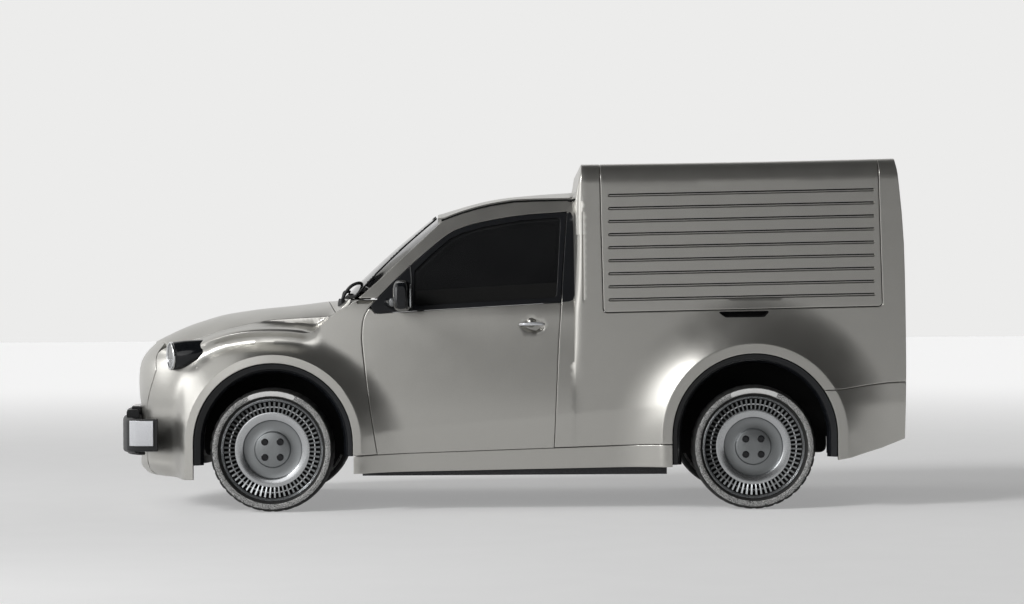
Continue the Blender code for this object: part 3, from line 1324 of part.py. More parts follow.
def chassis():
    """Subframe with its arms, knuckles, rear axle and the four wheels."""
    hub_face = TRACK_HALF - HUB_BACK - SEAT_GAP
    for word, side in SIDES:
        axis = pivot("steer_axis_" + word, (FRONT_X, side * KNUCKLE_Y, TYRE_RADIUS))
        post = rod("knuckle_" + word, (FRONT_X, side * KNUCKLE_Y, KNUCKLE_LOW + SEAT_GAP),
                   (FRONT_X, side * KNUCKLE_Y, KNUCKLE_HIGH - SEAT_GAP), KNUCKLE_POST, ROD_SIDES,
                   STEEL)
        stub = rod("stub_" + word, (FRONT_X, side * (KNUCKLE_Y - KNUCKLE_POST / 2), TYRE_RADIUS),
                   (FRONT_X, side * (hub_face - FLANGE_WALL / 2), TYRE_RADIUS), KNUCKLE_POST * 3 / 2,
                   ROD_SIDES, STEEL)
        flange = rod("flange_" + word, (FRONT_X, side * (hub_face - FLANGE_WALL), TYRE_RADIUS),
                     (FRONT_X, side * hub_face, TYRE_RADIUS), FLANGE_RADIUS, FLANGE_SIDES, STEEL)
        combine(post, [stub, flange], "UNION")
        hang(post, axis)
        for end, x in (("front", FRONT_X), ("rear", REAR_X)):
            rim, tyre = wheel(end, word, side, x)
            if end == "front":
                for piece in (rim, tyre):
                    piece.parent = axis
                    piece.location = Vector((x, side * TRACK_HALF, TYRE_RADIUS)) - axis.location
    rail_foot = FRONT_RAIL_Z - SEAT_GAP
    cross = block("front_subframe", (FRONT_X - FRAME_LENGTH / 2, -FRONT_RAIL_Y - FRONT_RAIL, FRAME_LOW),
                  (FRONT_X + FRAME_LENGTH / 2, FRONT_RAIL_Y + FRONT_RAIL, FRAME_HIGH), STEEL)
    parts = []
    for word, side in SIDES:
        a, b = sorted((side * FRONT_RAIL_Y, side * (FRONT_RAIL_Y + FRONT_RAIL)))
        parts.append(block("frame_pad_" + word, (FRONT_X - FRAME_LENGTH / 2, a, FRAME_LOW + OVERRUN),
                           (FRONT_X + FRAME_LENGTH / 2, b, rail_foot), STEEL))
        a, b = sorted((side * (FRONT_RAIL_Y - ARM_WIDTH), side * KNUCKLE_Y))
        parts.append(block("lower_arm_" + word, (FRONT_X - ARM_WIDTH / 2, a, KNUCKLE_LOW - ARM_WALL),
                           (FRONT_X + ARM_WIDTH / 2, b, KNUCKLE_LOW), STEEL))
        parts.append(block("upper_arm_" + word, (FRONT_X - ARM_WIDTH / 2, a, KNUCKLE_HIGH),
                           (FRONT_X + ARM_WIDTH / 2, b, KNUCKLE_HIGH + ARM_WALL), STEEL))
        a, b = sorted((side * (FRONT_RAIL_Y - ARM_WIDTH), side * (FRONT_RAIL_Y - ARM_WALL / 2)))
        parts.append(block("arm_post_" + word, (FRONT_X - ARM_WIDTH / 2, a, FRAME_HIGH - OVERRUN),
                           (FRONT_X + ARM_WIDTH / 2, b, KNUCKLE_HIGH + ARM_WALL / 2), STEEL))
    combine(cross, parts, "UNION")
    unit_half = FRONT_RAIL_Y - ARM_WIDTH - UNIT_ROOM
    block("power_unit", (FRONT_X - UNIT_AHEAD, -unit_half, FRAME_HIGH + SEAT_GAP),
          (FRONT_X + UNIT_BEHIND, unit_half, up(UNIT_TOP_SHARE)), STEEL)
    rear_axle(hub_face)


def rear_axle(hub_face):
    beam = rod("rear_axle", (REAR_X, -hub_face + FLANGE_WALL / 2, TYRE_RADIUS),
               (REAR_X, hub_face - FLANGE_WALL / 2, TYRE_RADIUS), BEAM_RADIUS, ROD_SIDES, STEEL)
    parts = []
    seat = CARGO_FLOOR_Z - FLOOR_WALL - REAR_RAIL - SEAT_GAP
    for word, side in SIDES:
        parts.append(rod("rear_flange_" + word, (REAR_X, side * (hub_face - FLANGE_WALL), TYRE_RADIUS),
                         (REAR_X, side * hub_face, TYRE_RADIUS), FLANGE_RADIUS, FLANGE_SIDES, STEEL))
        a, b = sorted((side * ARM_Y, side * (ARM_Y + ARM_WIDTH)))
        front = REAR_X - ARM_LENGTH
        eye = front + ARM_LENGTH / 5
        outline = [(front, seat - 2 * BEAM_RADIUS), (REAR_X, TYRE_RADIUS - BEAM_RADIUS / 2),
                   (REAR_X + BEAM_RADIUS, TYRE_RADIUS), (REAR_X + BEAM_RADIUS, seat),
                   (REAR_X - BEAM_RADIUS, seat), (REAR_X - 2 * BEAM_RADIUS, TYRE_RADIUS + BEAM_RADIUS / 2),
                   (eye, seat - BEAM_RADIUS), (eye, seat), (front, seat)]
        parts.append(prism("trailing_arm_" + word, outline, "xz", a, b, STEEL))
    combine(beam, parts, "UNION")


# Interior

def interior():
    half = SIDE_HALF - 2 * SIDE_WALL - HINGE_PILLAR - OVERRUN
    front = FIREWALL_X + FIREWALL_WALL + SEAT_GAP
    rear = front + DASH_LENGTH
    low, high = (up(s) for s in DASH_LEVEL_SHARES)
    outline = [(front, low), (rear - DASH_LENGTH / 4, low), (rear, (low + high) / 2),
               (rear - DASH_LENGTH / 8, high), (front, high)]
    dash = prism("dashboard", outline, "xz", -half, half, BLACK)
    lean = math.radians(COLUMN_LEAN)
    direction = Vector((math.cos(lean), 0, math.sin(lean)))
    start = Vector((rear - DASH_LENGTH / 2, -(SEAT_INNER_Y + SEAT_OUTER_Y) / 2, up(COLUMN_SHARE)))
    end = start + direction * COLUMN_LENGTH
    column = rod("steering_column", start, end, STEERING_RIM * 2, ROD_SIDES, BLACK)
    combine(dash, [column], "UNION")
    centre = end + direction * (STEERING_RIM + SEAT_GAP)
    steering_wheel(centre, direction)
    for word, side in SIDES:
        seat(word, side)


def steering_wheel(centre, direction):
    turn = Vector((0, 0, 1)).rotation_difference(direction).to_matrix().to_4x4()
    data = bmesh.new()
    rings = []
    for i in range(STEERING_SIDES):
        a = 2 * math.pi * i / STEERING_SIDES
        ring = []
        for k in range(STEERING_RIM_SIDES):
            b = 2 * math.pi * k / STEERING_RIM_SIDES
            reach = STEERING_RADIUS + STEERING_RIM * math.cos(b)
            place = (reach * math.cos(a), reach * math.sin(a), STEERING_RIM * math.sin(b))
            ring.append(data.verts.new(place))
        rings.append(ring)
    for one, two in zip(rings, rings[1:] + rings[:1]):
        for k in range(STEERING_RIM_SIDES):
            n = (k + 1) % STEERING_RIM_SIDES
            data.faces.new([one[k], two[k], two[n], one[n]])
    rim = finish("steering_wheel", data, BLACK, True)
    hub = rod("steering_hub", (0, 0, -STEERING_RIM), (0, 0, STEERING_RIM), STEERING_RIM * 3, ROD_SIDES,
              BLACK)
    parts = [hub]
    for number, degrees in enumerate((0, 90, 180)):
        angle = math.radians(degrees)
        tip = (-STEERING_RADIUS * math.sin(angle), STEERING_RADIUS * math.cos(angle), 0)
        parts.append(rod(f"spoke_{number}", (0, 0, 0), tip, STEERING_RIM / 2, SPOKE_SIDES, BLACK))
    for part in [rim] + parts:
        part.matrix_world = Matrix.Translation(centre) @ turn
    combine(rim, parts, "UNION")


def seat(word, side):
    """Seat from the side: plinth, cushion, reclined back and headrest as one closed outline."""
    back = BOX_FRONT_X - BOX_FRONT_DEPTH - OVERRUN
    floor = CAB_FLOOR_Z + SEAT_GAP
    pad = floor + SEAT_HEIGHT
    front = back - SEAT_FRONT - SEAT_PAD
    middle = pad + SEAT_TALL / 2
    top = pad + SEAT_TALL
    outline = [(front + SEAT_PAD, floor), (back - SEAT_PAD, floor),
               (back - SEAT_PAD / 2, pad - SEAT_PAD / 2), (back, middle), (back, top),
               (back - SEAT_PAD * 2 / 3, top), (back - SEAT_PAD, top - HEADREST),
               (back - SEAT_PAD * 6 / 5, middle), (back - SEAT_PAD * 5 / 3, pad + SEAT_PAD / 3),
               (front + SEAT_PAD / 2, pad + SEAT_PAD / 3), (front, pad - SEAT_PAD / 3),
               (front + SEAT_PAD / 3, pad - SEAT_PAD)]
    a, b = sorted((side * SEAT_INNER_Y, side * SEAT_OUTER_Y))
    prism("seat_" + word, outline, "xz", a, b, FABRIC)


def main():
    for old in list(bpy.data.objects):
        bpy.data.objects.remove(old)
    tight, loose = headlamps()
    body_sides()
    wings(tight)
    nose_panel(tight)
    bonnet(loose)
    cab_roof()
    windscreen()
    box_roof()
    side_hatches()
    doors()
    rear_end()
    rear_bumper()
    bulkhead()
    floor_pan()
    front_structure()
    scuttle()
    front_bumper()
    arch_liners()
    chassis()
    interior()


main()
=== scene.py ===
"""Looks of the small panel van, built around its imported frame.

The van faces -X, its left side is at -Y and +Z is up. Lengths are in metres.
"""

import math

import bpy
import bmesh
import numpy as np
from mathutils import Matrix, Vector
from mathutils.geometry import delaunay_2d_cdt


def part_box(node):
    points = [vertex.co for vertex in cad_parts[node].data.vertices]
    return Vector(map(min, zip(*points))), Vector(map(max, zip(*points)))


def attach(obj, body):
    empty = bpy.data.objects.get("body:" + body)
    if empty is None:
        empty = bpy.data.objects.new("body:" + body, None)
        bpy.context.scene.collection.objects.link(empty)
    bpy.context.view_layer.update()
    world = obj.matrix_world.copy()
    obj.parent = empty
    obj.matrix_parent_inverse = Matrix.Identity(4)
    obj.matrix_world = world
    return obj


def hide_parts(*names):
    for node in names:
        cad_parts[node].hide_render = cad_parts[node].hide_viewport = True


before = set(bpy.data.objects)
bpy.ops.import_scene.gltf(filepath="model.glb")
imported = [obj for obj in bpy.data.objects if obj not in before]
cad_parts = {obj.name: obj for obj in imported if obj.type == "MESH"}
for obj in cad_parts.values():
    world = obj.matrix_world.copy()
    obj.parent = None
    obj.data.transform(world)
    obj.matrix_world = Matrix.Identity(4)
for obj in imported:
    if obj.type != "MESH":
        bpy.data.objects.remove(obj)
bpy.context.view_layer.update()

SIDES = (("left", -1), ("right", 1))

# Main sizes, as in the frame
FRONT_X = -1.18
REAR_X = 1.27
TRACK_HALF = 0.715
TYRE_RADIUS = 0.316
HALF_WIDTH = 0.85
SIDE_HALF = 0.79
HEIGHT = 1.785
SCENE_CELL = 0.020

# Body side: lengths of the section, and where the cab steps out to the box
WAIST_LOW = 0.50
WAIST_Z = 1.026
WAIST_BULGE = 0.022
CAB_LEAN = 0.14
RAIL_TOP = 1.58
BOX_LEAN = 0.012
SILL_TUCK = 0.03
SILL_LOW = 0.197
STEP_FRONT = 0.360
STEP_REAR = 0.400
BOX_SHOULDER = 0.10
BOX_FRONT_X = 0.403
ROOF_SEAM_Y = 0.491
NOSE_TAPER = 0.90
TAPER_POWER = 2.6
BONNET_POWER = 3.2

# Wheel arches
# X and Z of the centre, radius, and width of the flat band round it
FRONT_ARCH = (-1.17, 0.352, 0.407, 0.042)
REAR_ARCH = (1.27, 0.375, 0.419, 0.051)
FLARE_RAMP = 0.25
FLARE_TURN = 0.05
FLARE_POWER = 2.2
WING_DENT = 0.022
BEAD = 0.018
BEAD_DROP = 0.030
DENT_DROP = 0.062
DENT_REACH = 0.055
CREST_RUN = ((-1.66, 0.16), (-0.93, 0.10))
NOSE_TIP_X = -1.958
NOSE_PLAIN = 0.20
NOSE_FADE = 0.13

# Walls and gaps
SIDE_WALL = 0.05
WING_WALL = 0.03
ROOF_WALL = 0.03
BONNET_WALL = 0.02
GLASS_WALL = 0.006
SHUT = 0.0028
SEAM = 0.0016
EDGE = 0.0022
RING_SHARES = (0, 0.134, 0.5, 1, 2.6)
POCKET_SHARES = RING_SHARES[:4]
LEAST_STEP = 0.0015
ROUND_STEP = 14
FAR = 9.0
BATCH = 800


# Curves and outlines

def curve(points):
    """A smooth line through (at, value) points that never overshoots, held flat beyond its ends."""
    at, value = (np.array(c, float) for c in zip(*points))
    span = np.diff(at)
    rise = np.diff(value) / span
    slope = np.zeros(len(at))
    for i in range(1, len(at) - 1):
        if rise[i - 1] * rise[i] > 0:
            before = 2 * span[i] + span[i - 1]
            after = span[i] + 2 * span[i - 1]
            slope[i] = (before + after) / (before / rise[i - 1] + after / rise[i])
    slope[0], slope[-1] = rise[0], rise[-1]

    def read(where):
        where = np.clip(where, at[0], at[-1])
        i = np.clip(np.searchsorted(at, where) - 1, 0, len(at) - 2)
        t = (where - at[i]) / span[i]
        return (value[i] * (1 + 2 * t) * (1 - t) ** 2 + value[i + 1] * t * t * (3 - 2 * t)
                + span[i] * (slope[i] * t * (1 - t) ** 2 + slope[i + 1] * t * t * (t - 1)))
    return read


def smooth(value):
    value = np.clip(value, 0, 1)
    return value * value * (3 - 2 * value)


def bend(value, width):
    """Zero below, the value above, and a round turn of a half width between."""
    mid = (value + width) ** 2 / (4 * width)
    return np.where(value < -width, 0, np.where(value > width, value, mid))


def through(points, gap=0.02, count=None):
    """A Catmull-Rom curve through points, stepped by a gap or by a count for each stretch."""
    points = np.array(points, float)
    ends = np.array([2 * points[0] - points[1], *points, 2 * points[-1] - points[-2]])
    out = []
    for i in range(1, len(ends) - 2):
        a, b, c, d = ends[i - 1:i + 3]
        steps = count or max(1, math.ceil(np.linalg.norm(c - b) / gap))
        for k in range(steps):
            t = k / steps
            out.append(tuple(0.5 * (2 * b + (c - a) * t + (2 * a - 5 * b + 4 * c - d) * t * t
                                    + (3 * b - a - 3 * c + d) * t ** 3)))
    return out + [tuple(ends[-2])]


def rounded(loop, radius):
    """A closed outline with its corners turned to arcs."""
    out = []
    for before, here, after in zip(loop[-1:] + loop[:-1], loop, loop[1:] + loop[:1]):
        here = Vector(here)
        back = Vector(before) - here
        ahead = Vector(after) - here
        turn = math.pi - back.angle(ahead, math.pi)
        if math.degrees(turn) < ROUND_STEP:
            out.append(tuple(here))
            continue
        cut = min(radius * math.tan(turn / 2), back.length * 0.45, ahead.length * 0.45)
        start = here + back.normalized() * cut
        end = here + ahead.normalized() * cut
        count = max(2, math.ceil(math.degrees(turn) / ROUND_STEP))
        for i in range(count + 1):
            t = i / count
            out.append(tuple(start * (1 - t) ** 2 + here * 2 * t * (1 - t) + end * t * t))
    return out


def arc(centre, radius, start, end, count=24):
    angles = [math.radians(start + (end - start) * i / count) for i in range(count + 1)]
    return [(centre[0] + radius * math.cos(a), centre[1] + radius * math.sin(a)) for a in angles]


def turns(count):
    """Angles of points spaced evenly round a circle."""
    return [2 * math.pi * k / count for k in range(count)]


def spaced(loop):
    """A loop without points that nearly touch the one before."""
    return [p for i, p in enumerate(loop) if i == 0 or math.dist(p, loop[i - 1]) > LEAST_STEP]


def beside(line, xs, offsets):
    """Copies of a curve, each moved up by an offset."""
    return [[(x, float(line(x)) + off) for x in xs] for off in offsets]


def resampled(line, gap, closed=False):
    """Points along straight pieces, no further apart than a gap."""
    loop = list(line) + ([line[0]] if closed else [])
    out = []
    for a, b in zip(loop, loop[1:]):
        count = max(1, math.ceil(math.dist(a, b) / gap))
        out += [(a[0] + (b[0] - a[0]) * i / count, a[1] + (b[1] - a[1]) * i / count) for i in range(count)]
    return out if closed else out + [tuple(line[-1])]


def grown(loop, distance):
    """A closed outline moved outwards by a distance, or inwards by a negative one."""
    points = np.array(loop, float)
    ahead = np.roll(points, -1, 0) - points
    ahead /= np.linalg.norm(ahead, axis=1)[:, None]
    back = np.roll(ahead, 1, 0)
    turned = sum(points[:, 0] * np.roll(points[:, 1], -1) - np.roll(points[:, 0], -1) * points[:, 1])
    out = (ahead + back)[:, ::-1] * (1, -1) * (1 if turned > 0 else -1)
    size = np.maximum((out ** 2).sum(1) / 2, 0.35)[:, None]
    return [tuple(p) for p in points + out * distance / size]


def inside(points, loop):
    """Whether each point lies inside a closed outline."""
    points = np.asarray(points, float)
    a = np.asarray(loop, float)
    b = np.roll(a, -1, 0)
    hit = np.zeros(len(points), bool)
    for (ax, ay), (bx, by) in zip(a, b):
        if ay == by:
            continue
        crosses = (ay > points[:, 1]) != (by > points[:, 1])
        hit ^= crosses & (points[:, 0] < ax + (bx - ax) * (points[:, 1] - ay) / (by - ay))
    return hit


def distance(points, line, closed=True):
    """Distance of each point to a line of straight pieces."""
    points = np.asarray(points, float)
    a = np.asarray(line, float)
    b = np.roll(a, -1, 0) if closed else a[1:]
    a = a[:len(b)]
    run = b - a
    size = np.maximum((run ** 2).sum(1), 1e-12)
    best = np.full(len(points), FAR)
    for first in range(0, len(points), BATCH):
        some = points[first:first + BATCH, None]
        t = np.clip(((some - a) * run).sum(2) / size, 0, 1)[:, :, None]
        away = np.linalg.norm(some - a - run * t, axis=2)
        best[first:first + BATCH] = away.min(1)
    return best


TUCK_FROM = -1.06
TUCK_TURN = 0.06
LEAN_TURN = 0.08
NOSE_FLAT = 0.06
ROOF_LAP = 0.03
ROOF_POWER = 2.4
ROOF_RISE = 0.016
ROLL_FROM = -0.95
ROLL_FADE = 0.08
ROLL_PULL = (0.25, 0.45, 0.004)
VALLEY_SIDE = (0.42, 0.62)
VALLEY_DEEP = (0.25, 0.75)
MERGE = 0.00001


# Surfaces of the body, in numpy arrays. A place turns (u, v, depth) into X, Y and Z.

NOSE = curve([(0.168, -1.911), (0.189, -1.938), (0.227, -1.951), (0.259, -1.946), (0.518, -1.948),
              (0.575, -1.955), (0.648, -1.958), (0.710, -1.955), (0.760, -1.944), (0.809, -1.913),
              (0.859, -1.862)])
NOSE_SIDE = curve([(0.168, 0.395), (0.300, 0.340), (0.482, 0.340), (0.600, 0.411), (0.721, 0.474),
                   (0.804, 0.411)])
CREST = curve([(-1.90, 0.804), (-1.699, 0.804), (-1.620, 0.822), (-1.500, 0.869), (-1.390, 0.902),
               (-1.280, 0.917), (-1.180, 0.921), (-1.080, 0.917), (-1.010, 0.909), (-0.971, 0.914),
               (-0.930, 0.947), (-0.880, 0.991), (-0.837, 1.024), (-0.790, 1.046), (-0.737, 1.070),
               (-0.616, 1.070)])
BONNET_MIDDLE = curve([(-1.862, 0.859), (-1.780, 0.901), (-1.684, 0.944), (-1.588, 0.976), (-1.492, 1.003),
                       (-1.395, 1.019), (-1.298, 1.032), (-1.106, 1.050), (-0.923, 1.072),
                       (-0.857, 1.080)])
BONNET_SIDE = curve([(-1.862, 0.405), (-1.759, 0.437), (-1.582, 0.5015), (-1.468, 0.531), (-1.335, 0.561),
                     (-1.195, 0.582), (-1.055, 0.599), (-0.888, 0.620), (-0.812, 0.640), (-0.737, 0.7055),
                     (-0.616, 0.7055)])
BONNET_SIDE_Z = curve([(-1.862, 0.822), (-1.759, 0.846), (-1.582, 0.883), (-1.468, 0.921),
                       (-1.335, 0.951), (-1.195, 0.975), (-1.055, 0.984), (-0.888, 0.994),
                       (-0.846, 1.018), (-0.812, 1.034), (-0.737, 1.084), (-0.616, 1.084)])
CREASE = curve([(-0.812, 0.366), (-0.588, 0.407), (0.252, 0.482), (0.593, 0.512), (0.796, 0.533),
                (0.853, 0.536)])
RAIL = curve([(-0.310, 1.478), (-0.202, 1.517), (-0.055, 1.5547), (0.092, 1.5744), (0.4125, 1.580)])
ROOF = curve([(-0.350, 1.526), (-0.215, 1.565), (-0.112, 1.592), (-0.009, 1.611), (0.094, 1.622),
              (0.251, 1.635), (0.4125, 1.644)])
BOX_ROOF = curve([(0.403, 1.762), (1.27, 1.7707), (2.045, 1.784)])
TAIL = curve([(0.250, 2.037), (0.355, 2.038), (0.705, 2.045), (1.055, 2.0435), (1.346, 2.038),
              (1.639, 2.015), (1.785, 1.9985)])


def cab_half(z):
    bulge = WAIST_BULGE * smooth((z - WAIST_LOW) / (WAIST_Z - WAIST_LOW))
    rise = (z - WAIST_Z) / (RAIL_TOP - WAIST_Z)
    return SIDE_HALF - bulge - CAB_LEAN * bend(rise, LEAN_TURN)


def taper(x, z):
    s = np.clip((x - NOSE(z)) / NOSE_TAPER, 0.0005, 1)
    return np.sqrt(1 - (1 - s) ** TAPER_POWER)


def nose_x(y, z):
    share = np.minimum(np.abs(y) / cab_half(z), 0.999)
    return NOSE(z) + NOSE_TAPER * (1 - (1 - share * share) ** (1 / TAPER_POWER))


def plain_half(x, z):
    box = SIDE_HALF - BOX_LEAN * smooth(z / HEIGHT)
    turn = np.clip((x - STEP_FRONT) / (STEP_REAR - STEP_FRONT), 0, 1)
    turn = np.sqrt(np.clip(1 - (1 - turn) ** 2, 0, 1))
    cab = cab_half(z)
    half = cab + (box - cab) * turn
    tuck = np.clip((CREASE(x) - z) / (CREASE(x) - SILL_LOW), 0, 1)
    tuck = bend(tuck, TUCK_TURN)
    return (half - SILL_TUCK * smooth((x - TUCK_FROM) / FLARE_RAMP) * tuck) * taper(x, z)


def flare_face(x):
    """Half width of the flat band round an arch."""
    turn = np.where(x < 0, np.clip((FRONT_ARCH[0] - x) / (FRONT_ARCH[2] + FRONT_ARCH[3]), 0, 1.3), 0)
    return HALF_WIDTH - FLARE_TURN * turn ** 2


def past_nose(x):
    """Zero on the nose, one behind it, and a smooth step between."""
    return smooth((x - NOSE_TIP_X - NOSE_PLAIN) / NOSE_FADE)


def skin(x, z):
    """Half width of the finished body side."""
    half = plain_half(x, z)
    front = x < 0
    ax = np.where(front, FRONT_ARCH[0], REAR_ARCH[0])
    az = np.where(front, FRONT_ARCH[1], REAR_ARCH[1])
    reach = np.where(front, FRONT_ARCH[2] + FRONT_ARCH[3], REAR_ARCH[2] + REAR_ARCH[3])
    away = np.where(z < az, np.abs(x - ax), np.hypot(x - ax, z - az)) - reach
    over = np.clip((z - az) / reach, 0, 1) * front
    ramp = FLARE_RAMP * (1 - 0.45 * over)
    share = np.clip(1 - away / ramp, 0, 1)
    share = share * np.where(front, past_nose(x), 1)
    half = half + np.maximum(flare_face(x) - half, 0) * share ** FLARE_POWER
    crest = CREST(x)
    (first, first_fade), (last, last_fade) = CREST_RUN
    run = smooth((x - first) / first_fade) * smooth((last - x) / last_fade)
    drop = crest - z
    dent = smooth(1 - np.abs(drop - DENT_DROP) / DENT_REACH) * WING_DENT
    bead = smooth(1 - drop / BEAD_DROP) * BEAD
    return half + run * (bead - dent)


def inward(x, z):
    """The direction into the body, in plan."""
    step = NOSE_TAPER / 200
    rise = (taper(x + step, z) - taper(x - step, z)) * SIDE_HALF / (2 * step)
    rise = rise * (1 - past_nose(x))
    size = np.hypot(rise, 1)
    return rise / size, -1 / size


def half_at(x, z):
    return float(skin(np.array(x), np.array(z)))


def on_side(x, z, depth):
    nx, ny = inward(x, z)
    return x + nx * depth, skin(x, z) + ny * depth, z


def on_box(x, v, depth):
    """Up the box's side, round its shoulder and over its roof, by the length along it."""
    roof = BOX_ROOF(x)
    turn = roof - BOX_SHOULDER
    edge = skin(x, np.minimum(v, turn))
    quarter = BOX_SHOULDER * math.pi / 2
    angle = np.clip((v - turn) / BOX_SHOULDER, 0, math.pi / 2)
    reach = BOX_SHOULDER - depth
    beyond = np.maximum(v - turn - quarter, 0)
    y = edge - BOX_SHOULDER + reach * np.cos(angle) - beyond
    z = np.minimum(v, turn) + reach * np.sin(angle)
    return x + 0 * v, y, z


def on_body(x, v, depth):
    cab = on_side(x, v, depth)
    box = on_box(x, v, depth)
    return tuple(np.where(x < STEP_REAR, c, b) for c, b in zip(cab, box))


VALLEY = curve([(-1.50, 0.0), (-1.35, 0.15), (-1.15, 0.8), (-1.00, 1.0), (-0.93, 0.9), (-0.86, 0.4),
                (-0.80, 0.0)])
BAND = 0.16
BAND_END = 0.02


def band_height(x):
    gap = BONNET_SIDE_Z(x) - CREST(x) - 0.012
    return BAND * smooth(gap / 0.03) + BAND_END


def on_wing(x, v, depth):
    """The wing's side up to its crest, and from there a rolled edge that runs in to the bonnet."""
    crest = CREST(x)
    side_v = np.minimum(v, crest)
    nx, ny = inward(x, side_v)
    side = np.stack([x + nx * depth, skin(x, side_v) + ny * depth, side_v])
    t = np.clip((v - crest) / band_height(x), 0, 1)
    deep = VALLEY(x)
    start_y = skin(x, crest)
    end_y = np.minimum(BONNET_SIDE(x) + SHUT, start_y - 0.006)
    end_z = np.maximum(BONNET_SIDE_Z(x), crest)
    rise = end_z - crest
    wide = start_y - end_y
    roll = smooth((ROLL_FROM - x) / ROLL_FADE)
    inwards, upwards, least = ROLL_PULL
    y1 = start_y - inwards * wide * (1 - roll) - least
    z1 = crest + (upwards * rise + least) * roll
    y2 = end_y + wide * (VALLEY_SIDE[0] - VALLEY_SIDE[1] * deep)
    z2 = end_z - rise * (VALLEY_DEEP[0] + VALLEY_DEEP[1] * deep)
    y = start_y * (1 - t) ** 3 + 3 * y1 * t * (1 - t) ** 2 + 3 * y2 * t * t * (1 - t) + end_y * t ** 3
    z = crest * (1 - t) ** 3 + 3 * z1 * t * (1 - t) ** 2 + 3 * z2 * t * t * (1 - t) + end_z * t ** 3
    lean = smooth(t * 3)
    top = np.stack([x + nx * depth * (1 - lean), y + ny * depth * (1 - lean), z - depth * lean])
    return tuple(np.where(v <= crest, side, top))


def on_nose(y, z, depth):
    x = nose_x(y, z)
    nx, ny = inward(x, z)
    share = np.clip(np.abs(y) / NOSE_FLAT, 0, 1)
    nx = 1 - share + nx * share
    return x + nx * depth, y + np.sign(y) * ny * share * depth, z


def bonnet_z(x, y):
    share = np.minimum(np.abs(y) / BONNET_SIDE(x), 1)
    middle = BONNET_MIDDLE(x)
    return middle + (BONNET_SIDE_Z(x) - middle) * share ** BONNET_POWER


def on_bonnet(x, y, depth):
    return x, y, bonnet_z(x, y) - depth


def rail_half(x):
    return skin(x, RAIL(x)) - SIDE_WALL


def on_cab_roof(x, y, depth):
    share = np.minimum(np.abs(y) / (rail_half(x) + ROOF_LAP), 1.02) ** ROOF_POWER
    return x, y, ROOF(x) + (RAIL(x) + ROOF_RISE - ROOF(x)) * share - depth


# The glass's foot: X in the middle, sweep to the sides and height. Its head: X and sweep.
SCREEN_FOOT = (-0.857, 0.12, 1.086)
SCREEN_HEAD = (-0.350, 0.025)
SCREEN_BULGE = 0.012
SCREEN_INTO = (0.6, -0.8)


def screen_foot(y):
    return SCREEN_FOOT[0] + SCREEN_FOOT[1] * (y / SIDE_HALF) ** 2


def screen_head(y):
    return SCREEN_HEAD[0] + SCREEN_HEAD[1] * (y / SIDE_HALF) ** 2


def on_screen(s, y, depth):
    """The glass, from its foot at share 0 to its head at share 1."""
    foot, head = screen_foot(y), screen_head(y)
    low = SCREEN_FOOT[2]
    high = on_cab_roof(head, y, 0)[2]
    into = depth - SCREEN_BULGE * np.sin(math.pi * np.clip(s, 0, 1))
    x = foot + (head - foot) * s + into * SCREEN_INTO[0]
    return x, y, low + (high - low) * s + into * SCREEN_INTO[1]


def on_tail(y, z, depth):
    return TAIL(z) - depth, y, z


# Materials

GREY_RANGE = (0.25, 0.75)
BROAD_GRAIN = 9.0
COAT_ROUGH = 0.1
RELIEF = 0.001


def fill(tree, made, inputs):
    """Set a node's inputs, each to a value or to another node's output."""
    for name, value in inputs.items():
        if isinstance(value, bpy.types.NodeSocket):
            tree.links.new(value, made.inputs[name])
        else:
            made.inputs[name].default_value = value
    return made


def node(tree, kind, inputs=None, **settings):
    made = tree.nodes.new("ShaderNode" + kind)
    for name, value in settings.items():
        setattr(made, name, value)
    return fill(tree, made, inputs or {})


def noise(tree, scale, detail=2.0):
    """Object-space noise, so that a pattern keeps its size on every piece."""
    place = node(tree, "TexCoord").outputs["Object"]
    return node(tree, "TexNoise", {"Vector": place, "Scale": scale, "Detail": detail}).outputs["Fac"]


def ranged(tree, source, before, after, interpolation="LINEAR"):
    """A value moved from one range to another."""
    inputs = {"Value": source, "From Min": before[0], "From Max": before[1],
              "To Min": after[0], "To Max": after[1]}
    return node(tree, "MapRange", inputs, interpolation_type=interpolation).outputs["Result"]


def two_tone(tree, source, dark, light, spread=(0.3, 0.7)):
    made = node(tree, "ValToRGB", {"Fac": source})
    for stop, place, tone in zip(made.color_ramp.elements, spread, (dark, light)):
        stop.position = place
        stop.color = (*tone, 1)
    return made.outputs["Color"]


def relief(tree, height, strength):
    made = node(tree, "Bump", {"Height": height, "Strength": strength, "Distance": RELIEF})
    return made.outputs["Normal"]


def computed(tree, operation, one, two):
    return node(tree, "Math", {0: one, 1: two}, operation=operation).outputs[0]


def new_material(name):
    material = bpy.data.materials.new(name)
    material.use_nodes = True
    return material, material.node_tree, material.node_tree.nodes["Principled BSDF"]


def surface(name, dark, light, rough, metallic=0.0, grain=400.0, bump=0.0, coat=0.0, specular=0.5,
            spread=(0.3, 0.7)):
    """A finish with grain in its colour and roughness, and a fine relief."""
    material, tree, shader = new_material(name)
    broad = noise(tree, BROAD_GRAIN, 3.0)
    fill(tree, shader, {"Base Color": two_tone(tree, noise(tree, grain), dark, light, spread),
                        "Roughness": ranged(tree, broad, GREY_RANGE, (rough * 0.92, rough * 1.08)),
                        "Metallic": metallic, "Specular IOR Level": specular,
                        "Coat Weight": coat, "Coat Roughness": COAT_ROUGH})
    if bump:
        fill(tree, shader, {"Normal": relief(tree, noise(tree, grain), bump)})
    return material


